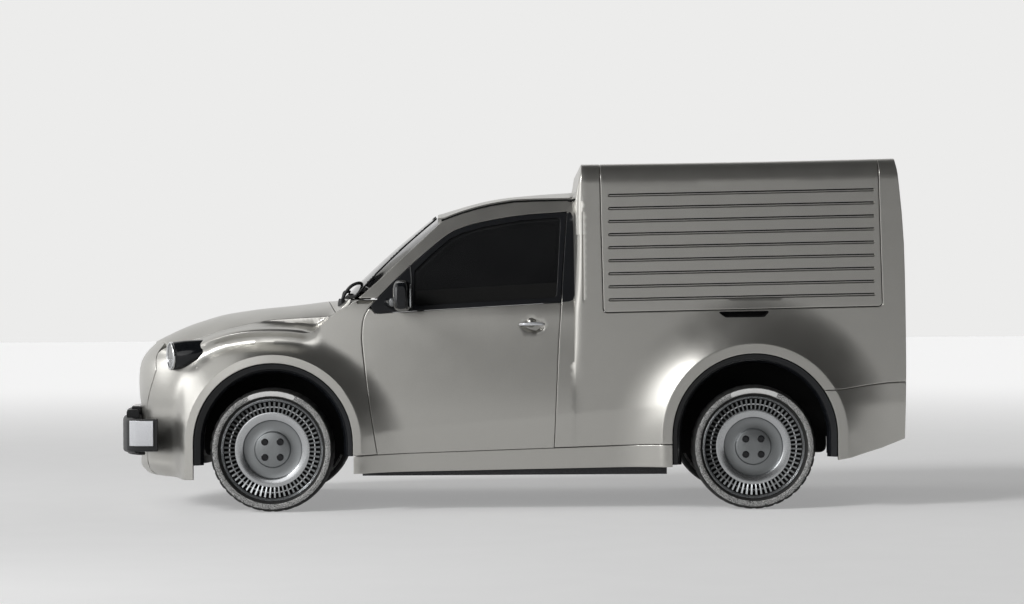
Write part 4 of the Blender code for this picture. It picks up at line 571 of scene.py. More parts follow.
PAINT = surface("grey_paint", (0.40, 0.393, 0.371), (0.56, 0.551, 0.520), 0.31, metallic=0.92, grain=1400.0,
                bump=0.05)
PAINT_INNER = surface("grey_paint_inner", (0.10, 0.10, 0.095), (0.14, 0.14, 0.13), 0.6, grain=300.0)
BLACK = surface("black_plastic", (0.010, 0.011, 0.012), (0.024, 0.025, 0.026), 0.46, grain=900.0,
                bump=0.25, specular=0.35)
SHADE = surface("black_shade", (0.004, 0.004, 0.004), (0.009, 0.009, 0.009), 0.75, grain=500.0,
                specular=0.15)
GLOSS = surface("black_gloss", (0.004, 0.0045, 0.006), (0.008, 0.009, 0.011), 0.14, grain=60.0,
                specular=0.35)
TRIM = surface("black_trim", (0.006, 0.0065, 0.008), (0.012, 0.013, 0.015), 0.34, grain=700.0,
               specular=0.25)
RUBBER = surface("tyre_rubber", (0.014, 0.014, 0.014), (0.032, 0.032, 0.031), 0.72, grain=500.0,
                 bump=0.3, specular=0.3)
SPECKLE = surface("tyre_speckle", (0.060, 0.060, 0.060), (0.62, 0.62, 0.61), 0.85, grain=330.0, bump=0.4,
                  specular=0.2, spread=(0.44, 0.58))
WHITE = surface("tyre_white", (0.70, 0.70, 0.69), (0.80, 0.80, 0.79), 0.55, grain=200.0)
ALLOY = surface("wheel_alloy", (0.20, 0.21, 0.215), (0.27, 0.28, 0.285), 0.38, metallic=0.85, grain=500.0,
                bump=0.05)
POLISHED = surface("wheel_polished", (0.42, 0.43, 0.44), (0.52, 0.53, 0.54), 0.24, metallic=0.95,
                   grain=300.0)
BRIGHT = surface("bright_ring", (0.66, 0.67, 0.68), (0.76, 0.77, 0.78), 0.16, metallic=1.0, grain=200.0)
SILVER = surface("plate_silver", (0.60, 0.61, 0.64), (0.70, 0.71, 0.73), 0.30, metallic=0.6, grain=300.0)
STEEL = surface("chassis_steel", (0.030, 0.031, 0.033), (0.060, 0.061, 0.064), 0.55, metallic=0.4,
                grain=120.0, bump=0.2)
ENGINE = surface("cast_block", (0.10, 0.10, 0.10), (0.19, 0.19, 0.185), 0.6, metallic=0.6, grain=260.0,
                 bump=0.5)
LAMP_RED = surface("lamp_red", (0.26, 0.006, 0.006), (0.36, 0.010, 0.008), 0.18, grain=80.0, coat=0.5)
LENS = surface("lamp_lens", (0.010, 0.011, 0.013), (0.020, 0.022, 0.025), 0.10, grain=120.0, coat=0.5)
LENS_GREY = surface("lamp_grey", (0.13, 0.135, 0.14), (0.20, 0.205, 0.21), 0.22, metallic=0.3, grain=120.0)


def glass_material(name, shine):
    """Dark tinted glass, clear enough to show the cab faintly."""
    material, tree, shader = new_material(name)
    tint = noise(tree, 3.0)
    tones = (0.030, 0.031, 0.033), (0.045, 0.046, 0.048)
    fill(tree, shader, {"Base Color": two_tone(tree, tint, *tones),
                        "Roughness": ranged(tree, tint, GREY_RANGE, (0.02, 0.05)),
                        "Transmission Weight": 0.75, "IOR": 1.33, "Specular IOR Level": shine})
    return material


def fabric_material():
    """A woven cloth: two crossed waves lift and shade its threads."""
    material, tree, shader = new_material("seat_fabric")
    place = node(tree, "TexCoord").outputs["Object"]
    threads = {"Vector": place, "Scale": 110.0, "Distortion": 0.6}
    waves = [node(tree, "TexWave", threads, bands_direction=turn).outputs["Fac"] for turn in ("X", "Z")]
    weave = computed(tree, "MULTIPLY", *waves)
    tones = (0.020, 0.021, 0.023), (0.065, 0.066, 0.070)
    fill(tree, shader, {"Base Color": two_tone(tree, weave, *tones, (0.0, 0.8)),
                        "Roughness": ranged(tree, noise(tree, 30.0), GREY_RANGE, (0.85, 0.95)),
                        "Sheen Weight": 0.25, "Normal": relief(tree, weave, 0.5)})
    return material


GLASS = glass_material("dark_glass", 0.5)
SCREEN_GLASS = glass_material("screen_glass", 0.08)
FABRIC = fabric_material()


# Mesh tools

UP = Vector((0, 0, 1))
LEFTWARD = Vector((0, 1, 0))


def linked(name, data):
    """A new object in the scene that holds some data."""
    thing = bpy.data.objects.new(name, data)
    bpy.context.collection.objects.link(thing)
    return thing


def made(name, verts, faces, materials, body, nodes=(), indices=None, angle=35):
    """A finished piece: closed mesh with faces out, materials, the body it rides on and its nodes."""
    mesh = bpy.data.meshes.new(name)
    mesh.from_pydata([tuple(v) for v in verts], [], [tuple(f) for f in faces])
    for material in materials:
        mesh.materials.append(material)
    if indices is not None:
        mesh.polygons.foreach_set("material_index", indices)
    data = bmesh.new()
    data.from_mesh(mesh)
    bmesh.ops.remove_doubles(data, verts=data.verts, dist=MERGE)
    bmesh.ops.recalc_face_normals(data, faces=data.faces)
    data.to_mesh(mesh)
    data.free()
    mesh.shade_smooth()
    mesh.set_sharp_from_angle(angle=math.radians(angle))
    piece = linked(name, mesh)
    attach(piece, body)
    if nodes:
        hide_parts(*nodes)
    return piece


def sheet(outline, holes=(), lines=(), pockets=(), cell=None, edge=EDGE):
    """A flat net over an outline: its points, triangles and distances to the edge."""
    cell = cell or SCENE_CELL
    loops = [resampled(outline, cell, True)] + [resampled(hole, cell, True) for hole in holes]
    points = []
    joined = []

    def add(line, closed):
        first = len(points)
        points.extend(line)
        joined.extend((first + i, first + i + 1) for i in range(len(line) - 1))
        if closed:
            joined.append((first + len(line) - 1, first))

    for number, loop in enumerate(loops):
        for share in RING_SHARES:
            add(grown(loop, (-1 if number == 0 else 1) * share * edge), True)
    for loop, _, width in pockets:
        loop = resampled(loop, cell, True)
        for share in POCKET_SHARES:
            add(grown(loop, -share * width), True)
    for line in lines:
        add(resampled(line, cell), False)
    corners = np.array(loops[0])
    low, high = corners.min(0), corners.max(0)
    us = np.arange(low[0] + cell / 2, high[0], cell)
    vs = np.arange(low[1] + cell / 2, high[1], cell)
    grid = np.stack(np.meshgrid(us, vs), -1)
    grid[1::2, :, 0] += cell / 2
    grid = grid.reshape(-1, 2)
    grid = grid[inside(grid, loops[0])]
    for hole in loops[1:]:
        grid = grid[~inside(grid, hole)]
    near = np.full(len(grid), FAR)
    for loop in loops:
        near = np.minimum(near, distance(grid, loop) - edge * RING_SHARES[-1])
    for loop, _, width in pockets:
        loop = resampled(loop, cell, True)
        near = np.minimum(near, distance(grid, loop) - width * inside(grid, loop))
    for line in lines:
        near = np.minimum(near, distance(grid, resampled(line, cell), False))
    points.extend(map(tuple, grid[near > cell * 0.4]))
    flat, _, faces, _, _, _ = delaunay_2d_cdt([Vector(p) for p in points], joined, [], 0, 1e-6)
    flat = np.array([tuple(p) for p in flat])
    faces = np.array([f for f in faces if len(f) == 3])
    middle = flat[faces].mean(1)
    kept = inside(middle, loops[0])
    for hole in loops[1:]:
        kept &= ~inside(middle, hole)
    faces = faces[kept]
    used, faces = np.unique(faces, return_inverse=True)
    faces = faces.reshape(-1, 3)
    flat = flat[used]
    away = np.full(len(flat), FAR)
    for loop in loops:
        away = np.minimum(away, distance(flat, loop))
    depth = np.where(away < edge, edge - np.sqrt(np.maximum(edge ** 2 - (edge - away) ** 2, 0)), 0)
    for loop, deep, width in pockets:
        hit = inside(flat, loop)
        within = distance(flat, loop)
        depth = depth + np.where(hit, deep * smooth(within / width), 0)
    return flat, faces, depth


def shell(name, net, place, wall, side, materials, body, nodes=(), regions=(), lift=0.0):
    """A closed panel: the net laid on a surface, its back at a wall's depth, and its rim."""
    flat, faces, depth = net
    u, v = flat.T
    front = np.stack(place(u, v, depth - lift), 1)
    back = np.stack(place(u, v, np.full(len(u), wall)), 1)
    front[:, 1] *= side
    back[:, 1] *= side
    count = len(u)
    middle = flat[faces].mean(1)
    index = np.zeros(len(faces), int)
    for loop, number in regions:
        index[inside(middle, loop)] = number
    edges = {}
    for face in faces.tolist():
        for a, b in zip(face, face[1:] + face[:1]):
            if (b, a) in edges:
                del edges[(b, a)]
            else:
                edges[(a, b)] = True
    rim = [(b, a, a + count, b + count) for a, b in edges]
    all_faces = faces.tolist() + [(c + count, b + count, a + count) for a, b, c in faces.tolist()] + rim
    inner = len(materials) - 1
    indices = index.tolist() + [inner] * len(faces) + [0] * len(rim)
    return made(name, np.concatenate([front, back]), all_faces, materials, body, nodes, indices)


def both(name, outline, place, wall, materials, body, nodes=(), **more):
    """The same panel on both sides, mirrored."""
    regions = more.pop("regions", ())
    lift = more.pop("lift", 0.0)
    net = sheet(outline, **more)
    for word, side in SIDES:
        shell(f"{name}_{word}", net, place, wall, side, materials, body.format(word),
              [n.format(word) for n in nodes], regions, lift)


def circle(centre, across, up, radius, count):
    """A ring of points in the plane of two directions."""
    return [centre + (across * math.cos(a) + up * math.sin(a)) * radius for a in turns(count)]


def loft(name, rings, materials, body, nodes=(), indices=None, ends_joined=False, angle=35):
    """Rings of points joined in turn, with caps on the first and last unless those are joined."""
    count = len(rings[0])
    marks = indices or [0] * len(rings)
    verts = [p for ring in rings for p in ring]
    faces, numbers = [], []
    for r in range(len(rings) if ends_joined else len(rings) - 1):
        one, two = r * count, (r + 1) % len(rings) * count
        for k in range(count):
            n = (k + 1) % count
            faces.append((one + k, one + n, two + n, two + k))
            numbers.append(marks[r])
    if not ends_joined:
        last = len(verts) - count
        faces += [tuple(range(count - 1, -1, -1)), tuple(range(last, last + count))]
        numbers += [marks[0], marks[-1]]
    return made(name, verts, faces, materials, body, nodes, numbers, angle)


def block(name, low, high, radius, materials, body, segments=3):
    """A box with rounded edges."""
    data = bmesh.new()
    bmesh.ops.create_cube(data, size=1)
    size = Vector(high) - Vector(low)
    bmesh.ops.transform(data, matrix=Matrix.Translation((Vector(low) + Vector(high)) / 2)
                        @ Matrix.Diagonal((*size, 1)), verts=data.verts)
    bmesh.ops.bevel(data, geom=data.edges, offset=radius, segments=segments, profile=0.5, affect="EDGES")
    verts = [v.co.copy() for v in data.verts]
    faces = [[v.index for v in f.verts] for f in data.faces]
    data.free()
    return made(name, verts, faces, materials, body)


def tube(name, path, radius, sides, materials, body, flat=1.0):
    """A bar along points, with one radius or one for each point, widened by a flat factor."""
    path = [Vector(p) for p in path]
    sizes = radius if isinstance(radius, list) else [radius] * len(path)
    rings = []
    for i, (point, size) in enumerate(zip(path, sizes)):
        ahead = (path[min(i + 1, len(path) - 1)] - path[max(i - 1, 0)]).normalized()
        across = ahead.cross(UP)
        if across.length < 0.01:
            across = ahead.cross(LEFTWARD)
        across.normalize()
        rings.append(circle(point, across * flat, across.cross(ahead), size, sides))
    return loft(name, rings, materials, body)


# Outlines, read from the photograph

DOOR_FRONT = [(-0.641, 0.2911), (-0.6753, 0.518), (-0.6998, 0.694), (-0.7165, 0.848), (-0.7175, 0.905),
              (-0.7140, 0.955), (-0.7020, 0.9996), (-0.6704, 1.0496)]
DOOR_TOP = [(-0.6704, 1.0496), (-0.5234, 1.1995), (-0.396, 1.3155), (-0.2809, 1.4080), (-0.2025, 1.4440),
            (-0.1045, 1.4710), (0.0916, 1.5035), (0.3268, 1.5208)]
DOOR_REAR = [(0.3268, 1.5208), (0.2998, 1.1549), (0.2949, 1.0585), (0.2802, 0.8532), (0.2704, 0.6497),
             (0.2533, 0.3184)]
BELT = [(0.2949, 1.0565), (-0.4915, 1.0152), (-0.6323, 1.0074), (-0.6588, 1.0160), (-0.6735, 1.0440)]
SEAM_LINE = ((-0.7688, 0.2872), (0.8436, 0.3364))
COVER = [(0.3005, 1.0590), (0.3348, 1.0614), (0.3552, 1.0689), (0.3645, 1.0953), (0.3625, 1.30),
         (0.3596, 1.5000), (0.3478, 1.5202), (0.29, 1.5190)]
HATCH = [(0.4983, 1.669), (0.500, 1.53), (0.5110, 1.0060), (1.9249, 1.0300), (1.9094, 1.669)]
GROOVES = 9
GROOVE_LEFT = (0.535, 1.0600, 1.5905)
GROOVE_RIGHT = (1.8908, 1.0800, 1.6115)
GROOVE_HEIGHT = 0.0165
SEAM_V = 2.0056
# Where the first line starts at the front and at the rear, the step between lines, and their count
SHOULDER_LINES = (1.66, 1.672, 0.02, 9)
SEAM_REAR = [(1.6260, 0.6060), (1.7267, 0.6099), (1.8502, 0.6286), (1.9567, 0.6413), (2.0440, 0.6453)]
SEAM_REAR_GAP = 0.0026
TAIL_STEPS = (0.75, 0.90, 1.055, 1.20, 1.346, 1.50, 1.639, 1.70, 1.76)
RAIL_STEPS = (0.372, 0.30, 0.18, 0.06, -0.055, -0.13, -0.202, -0.26, -0.310)
PILLAR = [(-0.7366, 1.0853), (-0.6312, 1.1781), (-0.5798, 1.2281), (-0.310, 1.478)]
PILLAR_FOOT = PILLAR[0][1]
STEP_LINES = (STEP_FRONT, 0.363, 0.368, 0.376, 0.386, STEP_REAR)
CREASE_OFFSETS = (-0.012, 0.0, 0.012)
CREST_OFFSETS = (-0.036, -0.024, -0.012, 0, 0.008, 0.02, 0.04)
FLARE_OFFSETS = (-0.004, 0.0, 0.006, 0.03)
GRIP = [(1.0873, 1.0050), (1.1279, 0.9750), (1.3264, 0.9760), (1.3554, 1.0080)]
CAB_GROOVE = ((0.407, 1.07), (0.407, 1.51), 0.007)
NOSE_STEPS = [0.168, 0.20, 0.25, 0.30, 0.39, 0.48, 0.54, 0.60, 0.66, 0.72, 0.77]
BONNET_NOSE_HALF = 0.405
CUP = [(0.078, 0.9437), (0.1414, 0.9839), (0.2074, 0.9531), (0.2125, 0.9175), (0.1668, 0.8924),
       (0.108, 0.910)]
WINDOW = [(-0.452, 1.045), (0.270, 1.083), (0.276, 1.155), (0.296, 1.494), (0.0916, 1.480),
          (-0.1045, 1.4450), (-0.2025, 1.4180), (-0.270, 1.388), (-0.372, 1.302), (-0.452, 1.222)]
# Painted reflection: a near-black band low on the door glass, for the darker lower part of its reflection.
# Its top is a line in the glass net.
WINDOW_REFLECTION_BAND = [(-0.60, 1.00), (0.33, 1.03), (0.33, 1.1625), (-0.4921, 1.1180), (-0.60, 1.112)]
WINDOW_REFLECTION_BAND_TOP = [(-0.48, 1.1186), (0.29, 1.1604)]
WINDOW_POST = [(-0.474, 1.250), (-0.466, 1.17), (-0.464, 1.10), (-0.4640, 1.024)]


def seam_z(x):
    (ax, az), (bx, bz) = SEAM_LINE
    return az + (bz - az) * (x - ax) / (bx - ax)


def door_loop():
    return through(DOOR_FRONT)[:-1] + through(DOOR_TOP)[:-1] + through(DOOR_REAR)


def arch_arc(arch, start, end, out=0.0, count=36):
    return arc(arch[:2], arch[2] + out, start, end, count)


def flare_lines(arch):
    """Lines on both sides of a flare band's outer edge, so that the turn there is tight."""
    lines = []
    for out in (arch[3] + off for off in FLARE_OFFSETS):
        lines.append([(arch[0] - arch[2] - out, 0.1)] + arch_arc(arch, 180, 0, out)
                     + [(arch[0] + arch[2] + out, 0.1)])
    return lines


def clipped(line, loop, room=0.004):
    """The stretches of a line that lie inside a loop, clear of its edge."""
    line = resampled(line, 0.01)
    good = inside(line, loop) & (distance(line, loop) > room)
    runs = []
    for point, ok in zip(line, good):
        if ok and (not runs or runs[-1] is None):
            runs.append([point])
        elif ok:
            runs[-1].append(point)
        elif runs and runs[-1] is not None:
            runs.append(None)
    return [run for run in runs if run and len(run) > 2]


def trimmed(lines, loop, holes=()):
    out = []
    for line in lines:
        for run in clipped(line, loop):
            if holes:
                for hole in holes:
                    keep = ~inside(run, grown(hole, 0.006))
                    run = [p for p, ok in zip(run, keep) if ok]
            if len(run) > 2:
                out.append(run)
    return out


# Body panels

def hatch_loop():
    high = SEAM_V - 0.004
    loop = rounded([(HATCH[0][0], high + 0.5), *HATCH, (HATCH[-1][0], high + 0.5)], 0.022)
    low = [p for p in loop if p[1] < high - 0.01]
    return low + [(HATCH[-1][0], high), (HATCH[0][0], high)]


def shoulder_lines(front, rear):
    """Lines along the box's shoulder, so that its turn is round."""
    front_v, rear_v, step, count = SHOULDER_LINES
    return [[(front, front_v + step * k), (rear, rear_v + step * k)] for k in range(count)]


def stadium(left, right, height, turns=8):
    """A long slot with round ends between two points on its middle line."""
    lean = math.degrees(math.atan2(right[1] - left[1], right[0] - left[0]))
    half = height / 2
    return arc(right, half, lean - 90, lean + 90, turns) + arc(left, half, lean + 90, lean + 270, turns)


def body_sides():
    door = grown(door_loop(), SHUT)
    top_and_rear = door[len(through(DOOR_FRONT)) - 1:]
    hatch = grown(hatch_loop(), SHUT * 1.4)[:-2]
    loop = [(top_and_rear[-1][0], seam_z(0.26) + SEAM),
            (REAR_ARCH[0] - REAR_ARCH[2], seam_z(0.851) + SEAM)]
    loop += arch_arc(REAR_ARCH, 180, 33.2) + SEAM_REAR + [(float(TAIL(z)), z) for z in TAIL_STEPS]
    loop += [(float(TAIL(HEIGHT)), SEAM_V), (hatch[-1][0], SEAM_V)] + hatch[::-1]
    loop += [(hatch[0][0], SEAM_V), (BOX_FRONT_X, SEAM_V), (BOX_FRONT_X, RAIL_TOP)]
    loop += [(float(x), float(RAIL(x))) for x in RAIL_STEPS] + through(PILLAR)[-2::-1]
    loop += [(opening_x(door, PILLAR_FOOT), PILLAR_FOOT)]
    loop += [p for p in top_and_rear if p[1] > PILLAR_FOOT or p[0] > 0][:-1]
    loop = spaced(loop)
    step = [[(x, 0.30), (x, 1.60)] for x in STEP_LINES]
    crease = beside(CREASE, np.linspace(0.2, 0.86, 30), CREASE_OFFSETS)
    lines = trimmed(shoulder_lines(0.40, 2.05) + step + crease + flare_lines(REAR_ARCH)
                    + [COVER], loop)
    grip = rounded(GRIP, 0.02)
    both("body_side", loop, on_body, SIDE_WALL, [PAINT, TRIM, SHADE, PAINT_INNER], "body",
         ["body_side_{}"], lines=lines, regions=[(COVER, 1), (grip, 2)],
         pockets=[(grip, 0.035, 0.010), (stadium(*CAB_GROOVE), 0.0035, 0.003)])
    low = [(-0.7600, SILL_LOW), (0.8510, 0.2213), (0.8510, seam_z(0.851) - SEAM),
           (-0.7600, seam_z(-0.76) - SEAM)]
    both("sill", low, on_side, SIDE_WALL * 0.9, [PAINT, PAINT_INNER], "body")


def opening_x(door, z):
    """Where the door's front edge crosses a height."""
    for a, b in zip(door, door[1:]):
        if a[1] <= z < b[1]:
            return a[0] + (b[0] - a[0]) * (z - a[1]) / (b[1] - a[1])
    return door[0][0]


def wings():
    front = [(float(nose_x(NOSE_SIDE(z) + SEAM, z)), z) for z in NOSE_STEPS + [0.804]]
    door = grown(door_loop(), SHUT)
    loop = [front[0], (FRONT_ARCH[0] - FRONT_ARCH[2], NOSE_STEPS[0])] + arch_arc(FRONT_ARCH, 180, 0)
    loop += [(-0.763, seam_z(-0.763) + SEAM), (door[0][0], seam_z(-0.64) + SEAM)]
    loop += [p for p in door[:len(through(DOOR_FRONT)) - 1] if p[1] > 0.30]
    loop += [(opening_x(door, 1.0838), 1.0838), (-0.7366, 1.0838)]
    loop += [(float(x), float(CREST(x) + band_height(x))) for x in np.linspace(-0.76, -1.735, 50)]
    loop = spaced(loop + front[:0:-1])
    crest = beside(CREST, np.linspace(-1.74, -0.75, 60), CREST_OFFSETS)
    both("wing", loop, on_wing, WING_WALL, [PAINT, PAINT_INNER], "body", ["wing_{}"],
         lines=trimmed(crest + flare_lines(FRONT_ARCH), loop), cell=SCENE_CELL * 0.8)


def bonnet_front(y):
    """Where the bonnet's edge meets the nose, found by going back and forth between them."""
    z = 0.822
    for _ in range(6):
        z = float(bonnet_z(nose_x(y, z), y)) - 0.006
    return float(nose_x(y, z)), z


def bonnet():
    front = [(bonnet_front(y)[0] + 0.001, float(y))
             for y in np.linspace(BONNET_NOSE_HALF, -BONNET_NOSE_HALF, 25)]
    right = [(float(x), float(BONNET_SIDE(x)) - SHUT * 0.3)
             for x in np.linspace(front[0][0] + 0.02, -0.905, 40)]
    half = right[-1][1]
    rear = [(float(screen_foot(y)) - 0.078, float(y)) for y in np.linspace(-half, half, 25)]
    left = [(x, -y) for x, y in right]
    net = sheet(front + left + rear + right[::-1])
    shell("bonnet", net, on_bonnet, BONNET_WALL, 1, [PAINT, PAINT_INNER], "bonnet", ["bonnet"])


def nose():
    right = [(float(NOSE_SIDE(z)) - SEAM, z) for z in NOSE_STEPS + [0.800]]
    left = [(-y, z) for y, z in right]
    half = right[-1][0]
    top = [(float(y), bonnet_front(y)[1] - 0.004) for y in np.linspace(-half, half, 25)[1:-1]]
    net = sheet(left + top + right[::-1])
    shell("nose_panel", net, on_nose, WING_WALL, 1, [PAINT, PAINT_INNER], "body", ["nose_panel"])


def cab_roof():
    xs = np.linspace(-0.285, BOX_FRONT_X - 0.020, 26)
    corner = float(rail_half(xs[0])) + ROOF_LAP
    front = [(float(screen_head(y)) + 0.004, float(y)) for y in np.linspace(-corner, corner, 25)]
    right = [(float(x), float(rail_half(x)) + ROOF_LAP) for x in xs]
    left = [(x, -y) for x, y in reversed(right)]
    net = sheet(front + right + left)
    shell("cab_roof", net, on_cab_roof, ROOF_WALL, 1, [PAINT, PAINT_INNER], "body", ["cab_roof"])
    # Painted shade: a near-black strip along each roof ditch, for the dark seam between the roof and the
    # rail.
    for word, side in SIDES:
        path = [(float(x), side * (float(rail_half(x)) + ROOF_LAP), float(RAIL(x)) + 0.002)
                for x in np.linspace(-0.315, 0.385, 30)]
        tube("roof_ditch_shade_" + word, path, 0.0075, 8, [SHADE], "body", flat=2.6)


def windscreen():
    """The glass, clear of both pillars, with a black band round its edge."""
    edge = []
    for s in np.linspace(0.0, 0.985, 20):
        x, _, z = on_screen(np.array(s), np.array(0.66), 0)
        edge.append((float(s), half_at(x, z) - SIDE_WALL - 0.001))
    loop = [(s, -y) for s, y in edge] + edge[::-1]
    net = sheet(loop, cell=0.03, edge=0.001)
    shell("windscreen", net, on_screen, GLASS_WALL, 1, [SCREEN_GLASS, SHADE, SCREEN_GLASS], "body",
          ["windscreen"], regions=[(loop, 1), (grown(loop, -0.035), 0)])


def box_roof():
    front = BOX_FRONT_X + 0.001
    rear = float(TAIL(HEIGHT))
    half = ROOF_SEAM_Y - 0.002
    loop = [(front, -half), (rear, -half), (rear, half), (front, half)]
    net = sheet(loop, cell=0.06)
    shell("box_roof", net, lambda x, y, d: (x, y, BOX_ROOF(x) - d), 0.035, 1, [PAINT, PAINT_INNER],
          "body", ["box_roof"])


CAP_FOOT = 1.40
CAP_RADIUS = 0.036
CAP_LEAN = 0.030
CAP_STEPS = 7
CAP_BACK = 0.03
PARTITION = (0.013, 0.030, 0.432, 1.66)


def box_cap():
    """The box's front: a rolled edge round its outline, and the face that leans back above the cab."""
    roof = float(BOX_ROOF(BOX_FRONT_X))
    half = half_at(BOX_FRONT_X + 0.001, 1.6)
    inner = half - BOX_SHOULDER
    path = [(half, CAP_FOOT), (half, 1.50), (half, 1.58), (half, roof - BOX_SHOULDER)]
    path += arc((inner, roof - BOX_SHOULDER), BOX_SHOULDER, 0, 90, 14)[1:]
    path += [(inner - 0.17 * k, roof) for k in range(1, 4)] + [(0.0, roof)]
    path += [(-y, z) for y, z in path[-2::-1]]
    rings = [[(BOX_FRONT_X + CAP_BACK, y, z) for y, z in path]]
    for k in range(CAP_STEPS + 1):
        angle = math.pi / 2 * k / CAP_STEPS
        inset = CAP_RADIUS * (1 - math.cos(angle))
        ring = []
        for y, z in path:
            lean = CAP_LEAN * smooth((z - 1.60) / 0.17)
            ring.append((BOX_FRONT_X - (CAP_RADIUS - lean) * math.sin(angle), y * (1 - inset / half),
                         z - inset * smooth((z - 1.55) / 0.1)))
        rings.append(ring)
    last = rings[-1]
    for share in (0.8, 0.45, 0.0):
        rings.append([(x, y * share, CAP_FOOT + (z - CAP_FOOT) * (0.4 + 0.6 * share)) for x, y, z in last])
    rings.append([(BOX_FRONT_X + CAP_BACK, y, z) for x, y, z in rings[-1]])
    loft("box_cap", rings, [PAINT], "body", ["bulkhead"], ends_joined=True)
    front, back, low, high = PARTITION
    across = SIDE_HALF - 0.075
    block("partition", (BOX_FRONT_X + front, -across, low), (BOX_FRONT_X + back, across, high), 0.004,
          [PAINT_INNER], "body")


GROOVE_TURN = 0.008
GROOVE_DEEP = 0.012
GROOVE_WALL = 0.0060
# Rise and height of the painted shade band on the upper wall of each groove
GROOVE_PAINTED_SHADE = (0.0056, 0.0066)


def hatches():
    """A hatch with long pressed grooves, the upper wall of each coloured near-black as painted shade."""
    loop = hatch_loop()
    pockets, shade = [], []
    rise, height = GROOVE_PAINTED_SHADE
    for row in range(GROOVES):
        share = row / (GROOVES - 1)
        ends = []
        for (x, low, high), turn in ((GROOVE_LEFT, GROOVE_TURN), (GROOVE_RIGHT, -GROOVE_TURN)):
            ends.append((x + turn, low + (high - low) * share + GROOVE_TURN))
        pockets.append((stadium(*ends, GROOVE_HEIGHT), GROOVE_DEEP, GROOVE_WALL))
        # Painted shade: a near-black band along the upper wall of each groove.
        shade.append((stadium(*((x, z + rise) for x, z in ends), height), 1))
    both("side_hatch", loop, on_box, SIDE_WALL, [PAINT, SHADE, PAINT_INNER], "side_hatch_{}",
         ["side_hatch_{}"], lines=trimmed(shoulder_lines(0.45, 1.95), loop), pockets=pockets, regions=shade)


# Doors

GLASS_SINK = 0.007
# X, distance outside the door, and Z
HANDLE_PATH = [(0.084, 0.002, 0.9455), (0.100, 0.020, 0.9470), (0.135, 0.026, 0.9490),
               (0.170, 0.026, 0.9495), (0.196, 0.020, 0.9480), (0.206, 0.006, 0.9470)]
HANDLE_SIZE = (0.0055, 0.0035)
# X, Z, radius, how deep it starts, how far it rises, and steps
BOSS = (0.1405, 0.9560, 0.0255, 0.012, 0.030, 8)
MIRROR_CENTRE = (-0.506, 0.045, 1.0965)
MIRROR_SIZE = (1.15, 0.078)
MIRROR_POWERS = (0.55, 0.62)
# Distance outside the door, half length, share of the size, and rise
MIRROR_PROFILE = [(0.00, 0.020, 0.55, 0.010), (0.02, 0.034, 0.82, 0.006), (0.06, 0.040, 0.96, 0.002),
                  (0.12, 0.041, 1.00, 0.0), (0.19, 0.038, 0.97, -0.001), (0.235, 0.030, 0.84, -0.002),
                  (0.250, 0.018, 0.62, -0.003)]
MIRROR_GLASS = [(0.062, 1.04), (0.275, 1.035), (0.270, 1.150), (0.070, 1.155)]
MIRROR_GLASS_X = (-0.464, -0.458)
MIRROR_STALK = [(-0.588, -0.012, 1.062), (-0.570, 0.030, 1.060), (-0.530, 0.058, 1.062),
                (-0.500, 0.075, 1.068)]
MIRROR_LAMP = ((-0.575, 0.055, 1.0415), (-0.528, 0.105, 1.0846))


def doors():
    front, top, rear, belt = (through(line) for line in (DOOR_FRONT, DOOR_TOP, DOOR_REAR, BELT))
    skin_loop = [p for p in front if p[1] < 1.036] + [(x, z - SEAM / 2) for x, z in belt[-2::-1]]
    skin_loop += [p for p in rear if p[1] < 1.05]
    crease = beside(CREASE, np.linspace(-0.70, 0.30, 40), CREASE_OFFSETS)
    cup = rounded(CUP, 0.03)
    both("door", skin_loop, on_side, SIDE_WALL, [PAINT, BLACK], "door_{}", ["door_{}"],
         lines=trimmed(crease, skin_loop, [cup]), pockets=[(cup, 0.016, 0.020)])
    upper = [(x, z + SEAM / 2) for x, z in belt] + top[1:-1] + [p for p in rear if p[1] > 1.066]
    window = rounded(WINDOW, 0.02)
    both("door_frame", upper, on_side, SIDE_WALL * 0.9, [TRIM, BLACK], "door_{}", holes=[window])
    pane = grown(window, 0.012)
    net = sheet(pane, cell=0.03, edge=0.001, lines=trimmed([WINDOW_REFLECTION_BAND_TOP], pane))
    for word, side in SIDES:
        body = "door_" + word
        # The pane's lower band takes the near-black shade material: a painted dark reflection.
        shell("door_glass_" + word, net, lambda x, z, d: on_side(x, z, d + GLASS_SINK), GLASS_WALL, side,
              [GLASS, SHADE, GLASS], body, ["door_glass_" + word], regions=[(WINDOW_REFLECTION_BAND, 1)])
        strip = [(float(x), side * (half_at(x, z) - 0.003), z) for x, z in through(WINDOW_POST)]
        tube("window_post_" + word, strip, 0.007, 10, [BLACK], body, flat=0.8)
        handle(word, side, body)
        mirror(word, side, body)


def beyond(points, base, side):
    """Points given by their distance outside a place on the door."""
    return [(x, side * (base + out), z) for x, out, z in points]


def handle(word, side, body):
    """A curved pull, and a round boss behind its middle."""
    base = half_at(0.14, 0.95)
    path = through(beyond(HANDLE_PATH, base, side), count=4)
    least, swell_by = HANDLE_SIZE
    sizes = [least + swell_by * math.sin(math.pi * i / (len(path) - 1)) for i in range(len(path))]
    tube("handle_" + word, path, sizes, 14, [SILVER], body)
    x, z, radius, sunk, rise, steps = BOSS
    rings = []
    for k in range(steps + 1):
        angle = math.pi / 2 * k / steps
        centre = Vector((x, side * (base - sunk + rise * math.sin(angle)), z))
        rings.append(circle(centre, Vector((1, 0, 0)), UP, radius * math.cos(angle) + 0.0005, 28))
    loft("handle_boss_" + word, rings, [PAINT], body)


